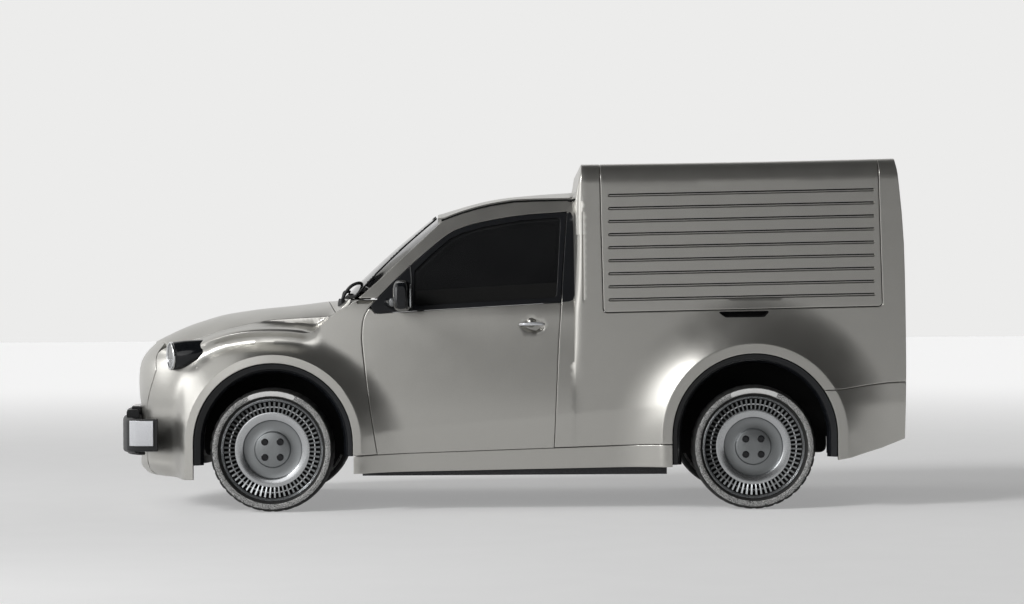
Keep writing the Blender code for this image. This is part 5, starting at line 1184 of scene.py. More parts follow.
def mirror(word, side, body):
    """A shell with a glass at its rear, on a stalk with a pale lamp block."""
    base = half_at(-0.55, 1.06)
    at_x, at_y, at_z = MIRROR_CENTRE
    wide, tall = MIRROR_SIZE
    rings = []
    for out, half_x, size, sink in MIRROR_PROFILE:
        ring = []
        for a in turns(32):
            c, s = math.cos(a), math.sin(a)
            px, pz = (math.copysign(abs(v) ** power, v) for v, power in zip((c, s), MIRROR_POWERS))
            ring.append((at_x + half_x * px * wide, side * (base + at_y + out),
                         at_z + tall * size * pz + sink))
        rings.append(ring)
    loft("mirror_" + word, rings, [GLOSS], body, ["mirror_" + word])
    loop = rounded(MIRROR_GLASS, 0.03)
    panes = [beyond([(x, y, z) for y, z in loop], base, side) for x in MIRROR_GLASS_X]
    loft("mirror_glass_" + word, panes, [POLISHED], body)
    stalk = through(beyond(MIRROR_STALK, base, side), count=5)
    tube("mirror_stalk_" + word, stalk, 0.022, 16, [GLOSS], body)
    ends = beyond(MIRROR_LAMP, base, side)
    low, high = ([pick(axis) for axis in zip(*ends)] for pick in (min, max))
    block("mirror_lamp_" + word, low, high, 0.012, [LENS_GREY], body, segments=5)


# Front end

LAMP_CENTRE = (-1.707, 0.604, 0.7935)
LAMP_YAW = 22
# Distance behind the face, radius and rise
LAMP_BULLET = [(0.002, 0.0715, 0), (0.010, 0.0735, 0), (0.06, 0.0740, 0.006), (0.11, 0.068, 0.014),
               (0.155, 0.055, 0.028), (0.185, 0.040, 0.040), (0.200, 0.020, 0.050)]
LAMP_RING = (0.0685, 0.0055, 0.006, 0.008)
LENS_RADIUS = 0.0640
LENS_CUT = -0.010
LENS_OUT = (0.008, 0.002)


def headlamps():
    """A bullet shaped pod with a bright ring, and a lens in two parts, dark above and grey below."""
    turn = math.asin(LENS_CUT / LENS_RADIUS)
    lenses = (("lens", LENS, np.linspace(turn, math.pi - turn, 30)),
              ("lens_grey", LENS_GREY, np.linspace(math.pi - turn + 0.01, 2 * math.pi + turn - 0.01, 24)))
    radius, thick, out, proud = LAMP_RING
    for word, side in SIDES:
        centre = Vector(LAMP_CENTRE) * Vector((1, side, 1))
        yaw = math.radians(LAMP_YAW)
        ahead = Vector((-math.cos(yaw), side * math.sin(yaw), 0))
        across = UP.cross(ahead).normalized()
        pod = [circle(centre + Vector((back, 0, rise)), across, UP, size, 48)
               for back, size, rise in LAMP_BULLET]
        loft("headlamp_" + word, pod, [GLOSS], "body", ["headlamp_" + word])
        ring = [circle(centre + ahead * (out + proud * math.sin(a)), across, UP,
                       radius + thick * math.cos(a), 48) for a in turns(12)]
        loft("lamp_ring_" + word, ring, [BRIGHT], "body", ends_joined=True)
        for part, material, angles in lenses:
            faces = [[centre + ahead * place + (across * math.cos(t) + UP * math.sin(t)) * LENS_RADIUS
                      for t in angles] for place in LENS_OUT]
            loft(f"lamp_{part}_{word}", faces, [material], "body")


BUMPER_TIP = -2.045
BUMPER_HALF = 0.640
# How far the bar bows back by width, and how flat its middle is. How far its ends turn, and the power.
BUMPER_BOW = (0.150, 0.07)
BUMPER_TURN = (0.060, 9)
BUMPER_BARS = (
    # Name, share of the half width, steps, widest place kept, set back, depth, low, high, edge, material
    ("front_bumper", 1.0, 49, 1.0, 0.0, 0.055, 0.297, 0.466, 0.012, BLACK),
    ("bumper_lip", 0.93, 41, 1.0, 0.022, 0.040, 0.284, 0.300, 0.006, BLACK),
    ("bumper_bracket", 1.0, 49, 0.30, 0.018, 0.065, 0.462, 0.505, 0.016, BLACK),
    ("bumper_sensor", 1.0, 49, 0.22, 0.045, 0.045, 0.500, 0.5213, 0.008, GLOSS))
BUMPER_END = [(-1.956, 0.570), (-1.938, 0.612), (-1.900, 0.6410), (-1.850, 0.651), (-1.782, 0.653)]
BUMPER_PLATE = [(-1.925, 0.634), (-1.900, 0.651), (-1.874, 0.658), (-1.840, 0.661), (-1.800, 0.662)]


def bumper_path(half, count):
    """Line of the bar's front face, in plan: a slow bow, and corners turned to the sides."""
    (bow, flat), (turn, power) = BUMPER_BOW, BUMPER_TURN
    return [(BUMPER_TIP + bow * (math.hypot(y, flat) - flat) + turn * (abs(y) / half) ** power, float(y))
            for y in np.linspace(-half, half, count)]


def bar(name, path, depth, low, high, edge, material, nodes=()):
    """A bar of rounded box section whose front face follows a path in plan."""
    section = rounded([(0, low), (0, high), (-depth, high), (-depth, low)], edge)
    rings = []
    for i, (x, y) in enumerate(path):
        ax, ay = path[max(i - 1, 0)]
        bx, by = path[min(i + 1, len(path) - 1)]
        size = math.hypot(bx - ax, by - ay)
        nx, ny = (by - ay) / size, -(bx - ax) / size
        rings.append([(x - nx * d, y - ny * d, z) for d, z in section])
    loft(name, rings, [material], "body", nodes)


def front_bumper():
    for name, share, steps, widest, back, *shape in BUMPER_BARS:
        path = [(x + back, y) for x, y in bumper_path(BUMPER_HALF * share, steps) if abs(y) < widest]
        bar(name, path, *shape, [name] if name == "front_bumper" else ())
    for word, side in SIDES:
        for name, line, gap, *shape in (("end", BUMPER_END, 0.015, 0.05, 0.304, 0.470, 0.012, BLACK),
                                        ("plate", BUMPER_PLATE, 0.012, 0.010, 0.333, 0.463, 0.004, SILVER)):
            path = through([(x, side * y) for x, y in line], gap)
            bar(f"bumper_{name}_{word}", path[::side], *shape)


SCUTTLE_DEEP = 0.075
SCUTTLE_DIP = 0.006


def on_scuttle(x, y, depth):
    """From the bonnet's rear edge up to the windscreen's foot, with a shallow dip."""
    start = screen_foot(y) - SCUTTLE_DEEP
    low = bonnet_z(start, y)
    share = np.clip((x - start) / SCUTTLE_DEEP, 0, 1.2)
    dip = SCUTTLE_DIP * np.sin(math.pi * np.clip(share, 0, 1))
    return x, y, low + (SCREEN_FOOT[2] - low) * share - depth - dip


def scuttle():
    ys = np.linspace(-0.612, 0.612, 33)
    front = [(float(screen_foot(y)) - SCUTTLE_DEEP + 0.0005, float(y)) for y in ys]
    rear = [(float(screen_foot(y)) - 0.003, float(y)) for y in ys[::-1]]
    net = sheet(front + rear, cell=0.02)
    shell("scuttle", net, on_scuttle, 0.02, 1, [PAINT, BLACK], "body", ["scuttle"])


WIPER_ARM = [(-0.838, -0.510, 1.070), (-0.822, -0.508, 1.108), (-0.792, -0.504, 1.146),
             (-0.758, -0.498, 1.163), (-0.737, -0.486, 1.160), (-0.741, -0.466, 1.130),
             (-0.760, -0.430, 1.104)]
WIPER_ROOT = (0.018, 0.02, 1.058)
WIPER_BLADES = ((-0.46, 0.055), (0.06, 0.055))
WIPER_REACH = 0.46
BLADE_STEPS = 12


def glass_point(share, y, ahead, above):
    """A place just off the windscreen."""
    x, _, z = on_screen(np.array(share), np.array(y), 0.0)
    return float(x) - ahead, y, float(z) + above


def wipers():
    """An arched arm by the near corner, a low one by the middle, and their blades along the glass."""
    back, y, z = WIPER_ROOT
    root = float(screen_foot(np.array(y))) - back
    low_arm = [(root, y, z), (root + 0.006, y + 0.004, z + 0.024), glass_point(0.03, 0.05, 0.020, 0.018),
               glass_point(0.05, 0.12, 0.014, 0.014)]
    for number, (arm, (y, share)) in enumerate(zip((WIPER_ARM, low_arm), WIPER_BLADES)):
        tube(f"wiper_arm_{number}", through(arm, count=6), 0.0085, 12, [BLACK], "body")
        blade = [glass_point(share, y + WIPER_REACH * k / BLADE_STEPS, 0.010, 0.009)
                 for k in range(BLADE_STEPS + 1)]
        tube(f"wiper_blade_{number}", blade, 0.0075, 8, [SHADE], "body")
        cap = [Vector(arm[0]) + UP * (0.022 * k - 0.030) for k in range(3)]
        tube(f"wiper_boss_{number}", cap, [0.021, 0.021, 0.015], 16, [BLACK], "body")


# Arches, wheels and rear end

# End, arch, the liner's feet, the inner wall's Y, and half width and top of its opening
ARCHES = (("front", FRONT_ARCH, (0.241, 0.286), 0.440, 0.16, 0.40),
          ("rear", REAR_ARCH, (0.232, 0.268), 0.490, 0.10, 0.42))
LINER_SECTION = [(-0.0012, 0.790), (-0.0012, 0.838), (-0.006, 0.8425), (-0.012, 0.8415), (-0.022, 0.834),
                 (-0.036, 0.820), (-0.046, 0.806), (-0.0495, 0.796), (-0.0495, 0.786), (-0.014, 0.782),
                 (-0.014, 0.480), (-0.003, 0.480)]
HOUSE_GAP = 0.016
HOUSE_LOW = 0.27


def liners():
    """A rolled lip under each flare, and the liner behind it."""
    for end, (ax, az, radius, _), feet, *_ in ARCHES:
        for word, side in SIDES:
            rings = []
            for off, y in LINER_SECTION:
                r = radius + off
                path = [(ax - r, feet[0])] + arc((ax, az), r, 180, 0, 48) + [(ax + r, feet[1])]
                drop = [HALF_WIDTH - float(flare_face(np.array(x))) if y > 0.6 else 0 for x, z in path]
                rings.append([(x, side * (y - d), z) for (x, z), d in zip(path, drop)])
            name = f"arch_liner_{end}_{word}"
            loft(name, [list(ring) for ring in zip(*rings)], [GLOSS], "body", [name])


def wheel_houses():
    """Inner walls that close the arches, open round the axle and the steered hub."""
    for end, (ax, az, radius, _), _, inner, hub, roof in ARCHES:
        r = radius - HOUSE_GAP
        loop = arc((ax, az), r, 180, 0, 40)
        loop += [(ax + r, HOUSE_LOW), (ax + hub, HOUSE_LOW), (ax + hub, roof), (ax - hub, roof),
                 (ax - hub, HOUSE_LOW), (ax - r, HOUSE_LOW)]
        net = sheet(rounded(loop, 0.04), cell=0.06, edge=0.001)
        for word, side in SIDES:
            shell(f"wheel_house_{end}_{word}", net, lambda x, z, d: (x, inner - d, z), 0.004, side, [SHADE],
                  "body")


def at_wheel(centre, side, r, y, t):
    """A place by its radius, its distance outwards and its angle round a wheel's axis."""
    return centre[0] + r * math.cos(t), centre[1] + side * y, centre[2] + r * math.sin(t)


def turned_rings(profile, count, side, centre):
    return [[at_wheel(centre, side, r, y, t) for t in turns(count)] for r, y in profile]


RIM_PROFILE = [(0.0005, 0.026), (0.020, 0.0262), (0.084, 0.0262), (0.088, 0.0245), (0.094, 0.0145),
               (0.100, 0.0128), (0.142, 0.0128), (0.146, 0.0145), (0.148, 0.0190), (0.152, 0.0285),
               (0.158, 0.0315), (0.186, 0.0345), (0.1905, 0.0335), (0.193, 0.0250), (0.200, 0.0200),
               (0.240, 0.0260), (0.2435, 0.0440), (0.248, 0.0490), (0.2535, 0.0560), (0.2575, 0.0610),
               (0.2605, 0.0600), (0.2615, 0.0500), (0.2618, -0.060), (0.2500, -0.062), (0.2485, 0.000),
               (0.150, -0.008), (0.088, -0.015), (0.060, -0.029), (0.0005, -0.029)]
RIM_MARKS = [0] * 8 + [1] * 5 + [2] * 4 + [1] * 3 + [2] * 8
RIM_STEPS = 96
LOUVRES = 60
LOUVRE_SECTION = [(0.1905, 0.020, 0.0032), (0.1905, 0.0335, 0.0032), (0.2020, 0.0375, 0.0036),
                  (0.2320, 0.0430, 0.0044), (0.2440, 0.0445, 0.0048), (0.2440, 0.020, 0.0048)]
LOUVRE_TILT = 0.0016
LOUVRE_RING = [(0.2145, 0.026), (0.2145, 0.0365), (0.2160, 0.0378), (0.2205, 0.0382), (0.2220, 0.0370),
               (0.2220, 0.026)]
BOLTS = 4
BOLT_CIRCLE = 0.0555
BOLT = [(0.0005, 0.024), (0.0182, 0.024), (0.0182, 0.0290), (0.0165, 0.0300), (0.0125, 0.0298),
        (0.0115, 0.0265), (0.0005, 0.0265)]
TYRE_WALL = [(0.2625, 0.0605), (0.2650, 0.0690), (0.2685, 0.0745), (0.2720, 0.0770), (0.2735, 0.0795),
             (0.2860, 0.0825), (0.3000, 0.0800), (0.3045, 0.0775), (0.3060, 0.0735), (0.3115, 0.0660)]
TYRE_MARKS = [0, 0, 0, 0, 1, 1, 0, 0, 0]
TREAD_RADIUS = 0.3155
TREAD_FLOOR = 0.3080
TREAD_STEPS = (0.060, 0.034, 0.031, 0.0275, 0.0245, 0.0045, 0.0015)
TREAD_GROOVE = (0.031, 0.0275)
TREAD_CUT = 0.005
TREAD_PITCH = 5
TREAD_EDGE = (0.02, 0.3105)
TYRE_STEPS = 180
BLOCK_SPREAD = 24
BLOCK_STEPS = 24
BLOCK_ROWS = [(0.2755, 0.0806, 1), (0.2860, 0.0829, 0), (0.2985, 0.0806, -1)]
BLOCK_NOTCH = 0.004


def wheel(end, word, side, x):
    centre = (x, side * TRACK_HALF, TYRE_RADIUS)
    body = f"wheel_{end}_{word}"
    tag = f"{end}_{word}"
    loft("rim_" + tag, turned_rings(RIM_PROFILE, RIM_STEPS, side, centre), [ALLOY, POLISHED, SHADE], body,
         ["rim_" + tag], indices=RIM_MARKS)
    louvres(tag, side, centre, body)
    loft("louvre_ring_" + tag, turned_rings(LOUVRE_RING, RIM_STEPS, side, centre), [POLISHED], body,
         ends_joined=True)
    for k, turn in enumerate(turns(BOLTS)):
        place = at_wheel(centre, side, BOLT_CIRCLE, 0, math.pi / 4 + turn)
        loft(f"bolt_{tag}_{k}", turned_rings(BOLT, 24, side, place), [GLOSS], body)
    tyre(tag, side, centre, body)


def louvres(tag, side, centre, body):
    """Slightly tilted fins between the wheel's disc and its rim."""
    count = len(LOUVRE_SECTION)
    verts, faces = [], []
    for k in range(LOUVRES):
        middle = 2 * math.pi * (k + 0.5) / LOUVRES
        first = len(verts)
        for r, y, half in LOUVRE_SECTION:
            tilt = LOUVRE_TILT if y > 0.03 else 0
            for sign in (-1, 1):
                verts.append(at_wheel(centre, side, r, y + tilt * sign, middle + sign * half / r))
        here = [first + 2 * i for i in range(count)]
        for one, two in zip(here, here[1:] + here[:1]):
            faces.append((one, two, two + 1, one + 1))
        faces += [here, [i + 1 for i in here[::-1]]]
    made("louvres_" + tag, verts, faces, [ALLOY], body)


def tyre(tag, side, centre, body):
    """Carcass with a speckled band on its wall, a grooved tread with cuts, and a blank white block."""
    half = list(TYRE_WALL)
    for y in TREAD_STEPS:
        crown = TREAD_RADIUS - 1.1 * y * y * (y > 0.05)
        half.append((TREAD_FLOOR if y in TREAD_GROOVE else crown, y))
    half.append((TREAD_FLOOR, 0.0))
    rings = []
    for r, y in half + [(r, -y) for r, y in half[::-1]]:
        cut = TREAD_CUT if abs(y) > TREAD_EDGE[0] and r > TREAD_EDGE[1] else 0.0
        rings.append([at_wheel(centre, side, r if k % TREAD_PITCH else r - cut, y, t)
                      for k, t in enumerate(turns(TYRE_STEPS))])
    marks = TYRE_MARKS + [0] * (len(rings) - 2 * len(TYRE_MARKS)) + TYRE_MARKS[::-1]
    loft("tyre_" + tag, rings, [RUBBER, SPECKLE], body, ["tyre_" + tag], indices=marks, ends_joined=True,
         angle=50)
    section = [(r, y + 0.0008, turn) for r, y, turn in BLOCK_ROWS]
    section += [(r, y - 0.002, turn) for r, y, turn in BLOCK_ROWS[::-1]]
    rings = []
    for i in range(BLOCK_STEPS + 1):
        t = math.pi / 2 + math.radians(BLOCK_SPREAD) * (2 * i / BLOCK_STEPS - 1)
        notch = BLOCK_NOTCH if i in (0, BLOCK_STEPS) else 0.0
        rings.append([at_wheel(centre, side, r + notch * turn, y, t) for r, y, turn in section])
    loft("tyre_block_" + tag, rings, [WHITE], body)


def rect(y0, y1, z0, z1, radius=0.012):
    return rounded([(y0, z0), (y1, z0), (y1, z1), (y0, z1)], radius)


REAR_HALF = 0.7215
REAR_OPENING = 0.6495
REAR_FRAME_Z = (0.655, 1.744)
REAR_DOOR_Z = (0.668, 1.648)
REAR_WALL = 0.045
LAMP_Z = (0.842, 1.175)
LAMP_GAP = 0.012
# Half width, low, high and corner radius
REAR_WINDOW = (0.20, 1.16, 1.52, 0.045)
REAR_PLATE = (0.22, 0.76, 0.89, 0.015)
REAR_HINGES = (0.80, 1.52)
REAR_HINGE_HALF = 0.035
REAR_SEAL = ((0, 0.001), (-0.008, 0.001), (-0.010, 0.004), (-0.002, 0.004))
REAR_HANDLE = [(0.004, -0.12), (0.024, -0.10), (0.026, -0.05), (0.004, -0.03)]
REAR_HANDLE_Z = 0.985


def rear_end():
    """The frame round the rear doors, with a lamp on each side."""
    low, high = REAR_FRAME_Z
    lamps = [rect(*sorted((side * (REAR_OPENING + LAMP_GAP), side * (REAR_HALF - LAMP_GAP))), *LAMP_Z)
             for _, side in SIDES]
    corner = BOX_SHOULDER * 0.8
    outline = [(-REAR_HALF, low), (REAR_HALF, low), (REAR_HALF, high - corner)]
    outline += arc((REAR_HALF - corner, high - corner), corner, 0, 90, 8)[1:]
    outline += [(-y, z) for y, z in reversed(outline[3:])] + [(-REAR_HALF, high - corner)]
    net = sheet(outline, holes=[rect(-REAR_OPENING, REAR_OPENING, *REAR_DOOR_Z, 0.02)] + lamps)
    shell("rear_frame", net, on_tail, REAR_WALL, 1, [PAINT, PAINT_INNER], "body", ["rear_frame"])
    for (word, side), lamp_loop in zip(SIDES, lamps):
        net = sheet(grown(lamp_loop, -0.0012), cell=0.02)
        shell("tail_lamp_" + word, net, on_tail, 0.022, 1, [LAMP_RED, BLACK], "body",
              ["tail_lamp_" + word], lift=0.003)
        rear_door(word, side)


def rear_door(word, side):
    """A door leaf with its glass and seal. The left one has the blank plate and the handle."""
    body = "rear_door_" + word
    a, b = sorted((side * SHUT, side * (REAR_OPENING - SHUT)))
    middle = (a + b) / 2
    half, low, high, turn = REAR_WINDOW
    window = rect(middle - half, middle + half, low, high, turn)
    half, low, high, turn = REAR_PLATE
    plate = rect(middle - half, middle + half, low, high, turn)
    low, high = REAR_DOOR_Z
    net = sheet(rect(a, b, low + SHUT, high - SHUT, 0.018), holes=[window],
                pockets=[(plate, 0.008, 0.012)] if side < 0 else [])
    shell(body, net, on_tail, REAR_WALL, 1, [PAINT, PAINT_INNER], body, [body])
    net = sheet(grown(window, 0.010), cell=0.03, edge=0.001)
    shell("rear_glass_" + word, net, lambda y, z, d: on_tail(y, z, d + 0.005), 0.006, 1, [GLASS], body)
    seal = grown(window, -0.0005)
    rings = [[(float(on_tail(y, z, depth)[0]), y, z) for y, z in grown(seal, off)]
             for off, depth in REAR_SEAL]
    loft("rear_seal_" + word, rings, [BLACK], body, ends_joined=True)
    if side < 0:
        net = sheet(grown(plate, -0.016), cell=0.04, edge=0.001)
        shell("rear_plate", net, lambda y, z, d: on_tail(y, z, d + 0.004), 0.003, 1, [WHITE], body)
        face = float(TAIL(0.97))
        grip = through([(face + out, y, REAR_HANDLE_Z) for out, y in REAR_HANDLE], count=5)
        tube("rear_handle", grip, 0.009, 12, [BLACK], body)
    for z in REAR_HINGES:
        x = float(TAIL(z)) + 0.004
        y = side * (REAR_OPENING + 0.004)
        path = [(x, y, z - REAR_HINGE_HALF), (x + 0.001, y, z), (x, y, z + REAR_HINGE_HALF)]
        tube(f"rear_hinge_{word}_{int(z * 100)}", path, 0.010, 12, [PAINT], "body")


CHEEK_FOOT = [(1.689, 0.2517), (1.762, 0.2642), (1.921, 0.3088), (2.038, 0.3552)]
REAR_BUMPER_Z = (0.357, 0.648)


def rear_bumper():
    loop = arch_arc(REAR_ARCH, 32.6, 0, 0, 12) + CHEEK_FOOT
    loop = spaced(loop + [(x, z - SEAM_REAR_GAP) for x, z in reversed(SEAM_REAR)])
    both("bumper_cheek", loop, on_side, 0.03, [PAINT, BLACK], "body",
         lines=trimmed(flare_lines(REAR_ARCH), loop))
    half = SIDE_HALF - 0.028
    net = sheet(rect(-half, half, *REAR_BUMPER_Z, 0.01), cell=0.04)
    shell("rear_bumper", net, on_tail, 0.035, 1, [PAINT, BLACK], "body", ["rear_bumper"], lift=0.0005)


# Cab

SEAT_Y = (0.125, 0.595)
SEAT_REAR = 0.004
# Outlines behind the seat's rear face, and how far each form stays inside the seat's sides
SEAT_FORMS = (
    ("seat_pad", [(0.575, 0.545), (0.560, 0.600), (0.530, 0.622), (0.30, 0.612), (0.175, 0.612),
                  (0.165, 0.540)], 0.0),
    ("seat_back", [(0.185, 0.615), (0.150, 0.80), (0.128, 1.06), (0.100, 1.110), (0.040, 1.112),
                   (0.012, 1.06), (0.040, 0.70), (0.070, 0.60), (0.150, 0.575)], 0.012),
    ("headrest", [(0.098, 1.150), (0.098, 1.255), (0.075, 1.285), (0.030, 1.285), (0.012, 1.255),
                  (0.012, 1.150), (0.040, 1.132), (0.080, 1.132)], 0.115))
PLINTH = ((0.52, 0.04, 0.267), (0.16, 0.04, 0.540))
RODS = (0.055, 0.06, 1.09, 1.16)
CUSHION_STEPS = 12
CUSHION_ROUND = (0.012, 0.003)
CUSHION_VOXEL = 0.011
SWELL_PRESSURE = 4.0
SWELL_FRAMES = 14
SWELL_CAP = 0.010


def seat(word, side):
    """Cushion, back and headrest, each swollen from a plain form, on a plinth."""
    y0, y1 = sorted(side * y for y in SEAT_Y)
    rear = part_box("seat_" + word)[1].x - SEAT_REAR
    for name, outline, inset in SEAT_FORMS:
        loop = rounded([(rear - back, z) for back, z in outline], 0.02)
        piece = cushion(f"{name}_{word}", loop, y0 + inset, y1 - inset)
        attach(piece, "body")
        if name == "seat_pad":
            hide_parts("seat_" + word)
    (front, inset, low), (behind, _, high) = PLINTH
    block("seat_plinth_" + word, (rear - front, y0 + inset, low), (rear - behind, y1 - inset, high), 0.02,
          [BLACK], "body")
    back, spread, low, high = RODS
    for k in (-1, 1):
        y = (y0 + y1) / 2 + k * spread
        tube(f"headrest_rod_{word}_{k + 1}", [(rear - back, y, low), (rear - back, y, high)], 0.006, 8,
             [POLISHED], "body")


def cushion(name, outline, y0, y1):
    """An outline drawn across the seat, rounded at both ends, remeshed evenly and swollen."""
    data = bmesh.new()
    rings = []
    for k in range(CUSHION_STEPS + 1):
        from_end = min(k, CUSHION_STEPS - k)
        shrink = CUSHION_ROUND[from_end] if from_end < len(CUSHION_ROUND) else 0
        y = y0 + (y1 - y0) * k / CUSHION_STEPS
        rings.append([data.verts.new((x, y, z)) for x, z in grown(outline, -shrink)])
    for one, two in zip(rings, rings[1:]):
        for a, b, c, d in zip(one, one[1:] + one[:1], two[1:] + two[:1], two):
            data.faces.new([a, b, c, d])
    data.faces.new(rings[0])
    data.faces.new(rings[-1][::-1])
    bmesh.ops.recalc_face_normals(data, faces=data.faces)
    mesh = bpy.data.meshes.new(name)
    data.to_mesh(mesh)
    data.free()
    mesh.materials.append(FABRIC)
    piece = linked(name, mesh)
    remesh = piece.modifiers.new("net", "REMESH")
    remesh.mode = "VOXEL"
    remesh.voxel_size = CUSHION_VOXEL
    settle(piece, "net")
    swell(piece)
    piece.data.shade_smooth()
    return piece


def settle(piece, modifier):
    """Apply a modifier to the piece's mesh."""
    for other in bpy.context.selected_objects:
        other.select_set(False)
    piece.select_set(True)
    bpy.context.view_layer.objects.active = piece
    bpy.ops.object.modifier_apply(modifier=modifier)


def places(piece):
    return np.array([v.co[:] for v in piece.data.vertices])


def swell(piece):
    """Cloth under a little pressure, with each point's movement capped."""
    start = places(piece)
    cloth = piece.modifiers.new("cloth", "CLOTH")
    cloth.settings.use_pressure = True
    cloth.settings.uniform_pressure_force = SWELL_PRESSURE
    cloth.settings.effector_weights.gravity = 0.0
    cloth.settings.quality = 5
    scene = bpy.context.scene
    for number in range(1, SWELL_FRAMES + 1):
        scene.frame_set(number)
    settle(piece, "cloth")
    moved = places(piece) - start
    size = np.linalg.norm(moved, axis=1)[:, None]
    capped = start + moved * np.minimum(1, SWELL_CAP / np.maximum(size, 1e-9))
    piece.data.vertices.foreach_set("co", capped.ravel())
    piece.data.update()
    scene.frame_set(1)
    fine = piece.modifiers.new("fine", "SUBSURF")
    fine.levels = 1
    settle(piece, "fine")


STEERING_LEAN = 25
STEERING_RIM = (0.18, 0.0135)
STEERING_HUB = ((-0.014, 0.030), (-0.012, 0.046), (0.002, 0.052), (0.010, 0.046), (0.014, 0.020))
SPOKES = (0, 180, 270)
SPOKE_STEPS = (0.03, 0.08, 0.13, 0.176)
SPOKE_SIZES = [0.014, 0.011, 0.009, 0.010]


def steering_wheel():
    low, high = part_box("steering_wheel")
    centre = (low + high) / 2
    lean = math.radians(STEERING_LEAN)
    axis = Vector((math.cos(lean), 0, math.sin(lean)))
    up = Vector((-math.sin(lean), 0, math.cos(lean)))
    radius, thick = STEERING_RIM
    rings = []
    for a in turns(72):
        out = LEFTWARD * math.cos(a) + up * math.sin(a)
        rings.append(circle(centre + out * radius, out, axis, thick, 12))
    loft("steering_rim", rings, [BLACK], "steering_wheel", ["steering_wheel"], ends_joined=True)
    hub = [circle(centre + axis * out, LEFTWARD, up, size, 32) for out, size in STEERING_HUB]
    loft("steering_hub", hub, [BLACK], "steering_wheel")
    for k, a in enumerate(map(math.radians, SPOKES)):
        out = LEFTWARD * math.cos(a) + up * math.sin(a)
        tube(f"steering_spoke_{k}", [centre + out * r for r in SPOKE_STEPS], SPOKE_SIZES, 10, [SILVER],
             "steering_wheel", flat=1.2)


CARRIED = {"floor_pan": STEEL, "front_structure": STEEL, "front_subframe": STEEL, "power_unit": ENGINE,
           "rear_axle": STEEL, "knuckle_left": ENGINE, "knuckle_right": ENGINE, "dashboard": BLACK}


def carried():
    for name, material in CARRIED.items():
        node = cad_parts[name]
        node.data.materials.clear()
        node.data.materials.append(material)


# Stage

FLOOR_HALF = 60.0
FLOOR_TONE = 0.62
FLOOR_GLOW = (0.30, 0.62)
FLOOR_REACH = (3.0, 20.0)
WORLD_TINT = (1.0, 0.998, 0.99, 1)
LIGHT_TURN = (-0.84, -0.54, 0.02)
LIGHT_FACING = (-0.15, 1.0)
LIGHT_STRENGTH = (0.15, 1.30)
BACKDROP = 0.84
BACKDROP_HIGH = 0.04
BACKDROP_TURN = (0.75, -0.34, 1.0)
BACKDROP_RISE = (0.20, 0.52)


def floor_material():
    """A pale floor that keeps shadows. Where it is seen, in view or in a reflection, it glows evenly."""
    material = surface("floor_pale", (FLOOR_TONE * 0.98,) * 3, (FLOOR_TONE,) * 3, 0.9, grain=3.0,
                       specular=0.1)
    tree = material.node_tree
    place = node(tree, "TexCoord").outputs["Object"]
    far = node(tree, "VectorMath", {0: place}, operation="LENGTH").outputs["Value"]
    glow = ranged(tree, far, FLOOR_REACH, FLOOR_GLOW, "SMOOTHSTEP")
    rays = node(tree, "LightPath").outputs
    seen = computed(tree, "MAXIMUM", rays["Is Camera Ray"], rays["Is Transmission Ray"])
    seen = computed(tree, "MAXIMUM", seen, rays["Is Glossy Ray"])
    fill(tree, tree.nodes["Principled BSDF"], {"Emission Color": (1, 1, 1, 1),
                                               "Emission Strength": computed(tree, "MULTIPLY", seen, glow)})
    return material


def facing(tree, place, towards):
    """How far each direction of the world turns towards a given one."""
    return node(tree, "VectorMath", {0: place, 1: towards}, operation="DOT_PRODUCT").outputs["Value"]


def mixed(tree, share, one, two):
    return node(tree, "Mix", {"Factor": share, "A": one, "B": two}, data_type="FLOAT").outputs["Result"]


def studio_world():
    """A pale backdrop. Gloss sees it darken overhead, and the rest is lit from the front left."""
    world = bpy.data.worlds.new("studio")
    world.use_nodes = True
    tree = world.node_tree
    place = node(tree, "TexCoord").outputs["Generated"]
    rays = node(tree, "LightPath").outputs
    side = ranged(tree, facing(tree, place, LIGHT_TURN), LIGHT_FACING, LIGHT_STRENGTH, "SMOOTHSTEP")
    gloss = ranged(tree, facing(tree, place, BACKDROP_TURN), BACKDROP_RISE, (BACKDROP, BACKDROP_HIGH),
                   "SMOOTHSTEP")
    light = mixed(tree, rays["Is Glossy Ray"], computed(tree, "MULTIPLY", side, gloss), gloss)
    direct = computed(tree, "MAXIMUM", rays["Is Camera Ray"], rays["Is Transmission Ray"])
    fill(tree, tree.nodes["Background"], {"Strength": mixed(tree, direct, light, BACKDROP),
                                          "Color": WORLD_TINT})
    bpy.context.scene.world = world
    bpy.context.scene.view_settings.view_transform = "Standard"


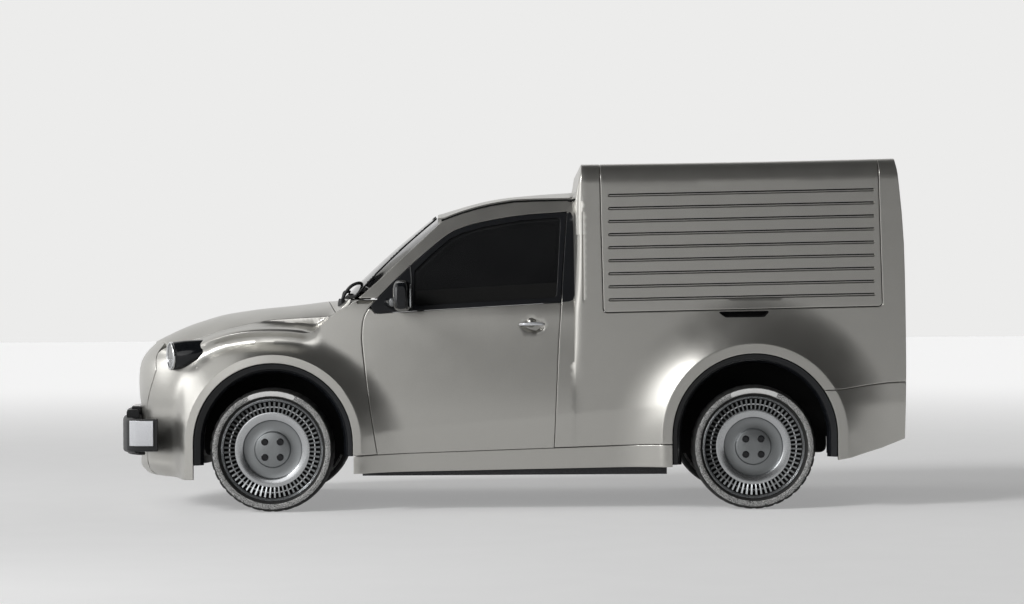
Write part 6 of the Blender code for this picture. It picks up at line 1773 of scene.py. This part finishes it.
def stage():
    corners = [(-FLOOR_HALF, -FLOOR_HALF, 0), (FLOOR_HALF, -FLOOR_HALF, 0), (FLOOR_HALF, FLOOR_HALF, 0),
               (-FLOOR_HALF, FLOOR_HALF, 0)]
    mesh = bpy.data.meshes.new("floor")
    mesh.from_pydata(corners, [], [(0, 1, 2, 3)])
    mesh.materials.append(floor_material())
    linked("floor", mesh)
    studio_world()


LENS_MM = 86.8
SENSOR_MM = 36.0
EYE = (0.045, -13.32, 1.05)
EYE_TILT = 90.0487
EYE_PAN = -0.36


def lamp(name, place, target, size, power):
    light = bpy.data.lights.new(name, "AREA")
    light.shape = "DISK"
    light.size = size
    light.energy = power
    lit = linked(name, light)
    lit.location = place
    lit.rotation_euler = (Vector(target) - Vector(place)).to_track_quat("-Z", "Y").to_euler()


def sun(name, towards, strength, spread):
    light = bpy.data.lights.new(name, "SUN")
    light.energy = strength
    light.angle = math.radians(spread)
    linked(name, light).rotation_euler = Vector(towards).to_track_quat("Z", "Y").to_euler()


def lights():
    sun("key", (-0.66, -0.54, 0.52), 1.50, 18)
    lamp("near", (-2.4, -4.8, 2.1), (-0.7, -0.8, 0.9), 2.6, 26)
    lamp("front", (-6.0, 0.6, 2.0), (-1.2, 0.0, 0.8), 2.4, 30)
    sun("fill", (0.5, 0.75, 0.45), 0.25, 60)


def camera():
    data = bpy.data.cameras.new("camera")
    data.lens = LENS_MM
    data.sensor_width = SENSOR_MM
    eye = linked("camera", data)
    look = (Matrix.Rotation(math.radians(EYE_TILT), 4, "X")
            @ Matrix.Rotation(math.radians(EYE_PAN), 4, "Z"))
    eye.matrix_world = Matrix.Translation(EYE) @ look
    bpy.context.scene.camera = eye


def main():
    camera()
    body_sides()
    wings()
    bonnet()
    nose()
    cab_roof()
    windscreen()
    box_roof()
    box_cap()
    hatches()
    doors()
    headlamps()
    front_bumper()
    scuttle()
    wipers()
    liners()
    wheel_houses()
    for word, side in SIDES:
        wheel("front", word, side, FRONT_X)
        wheel("rear", word, side, REAR_X)
        seat(word, side)
    rear_end()
    rear_bumper()
    steering_wheel()
    carried()
    stage()
    lights()


main()
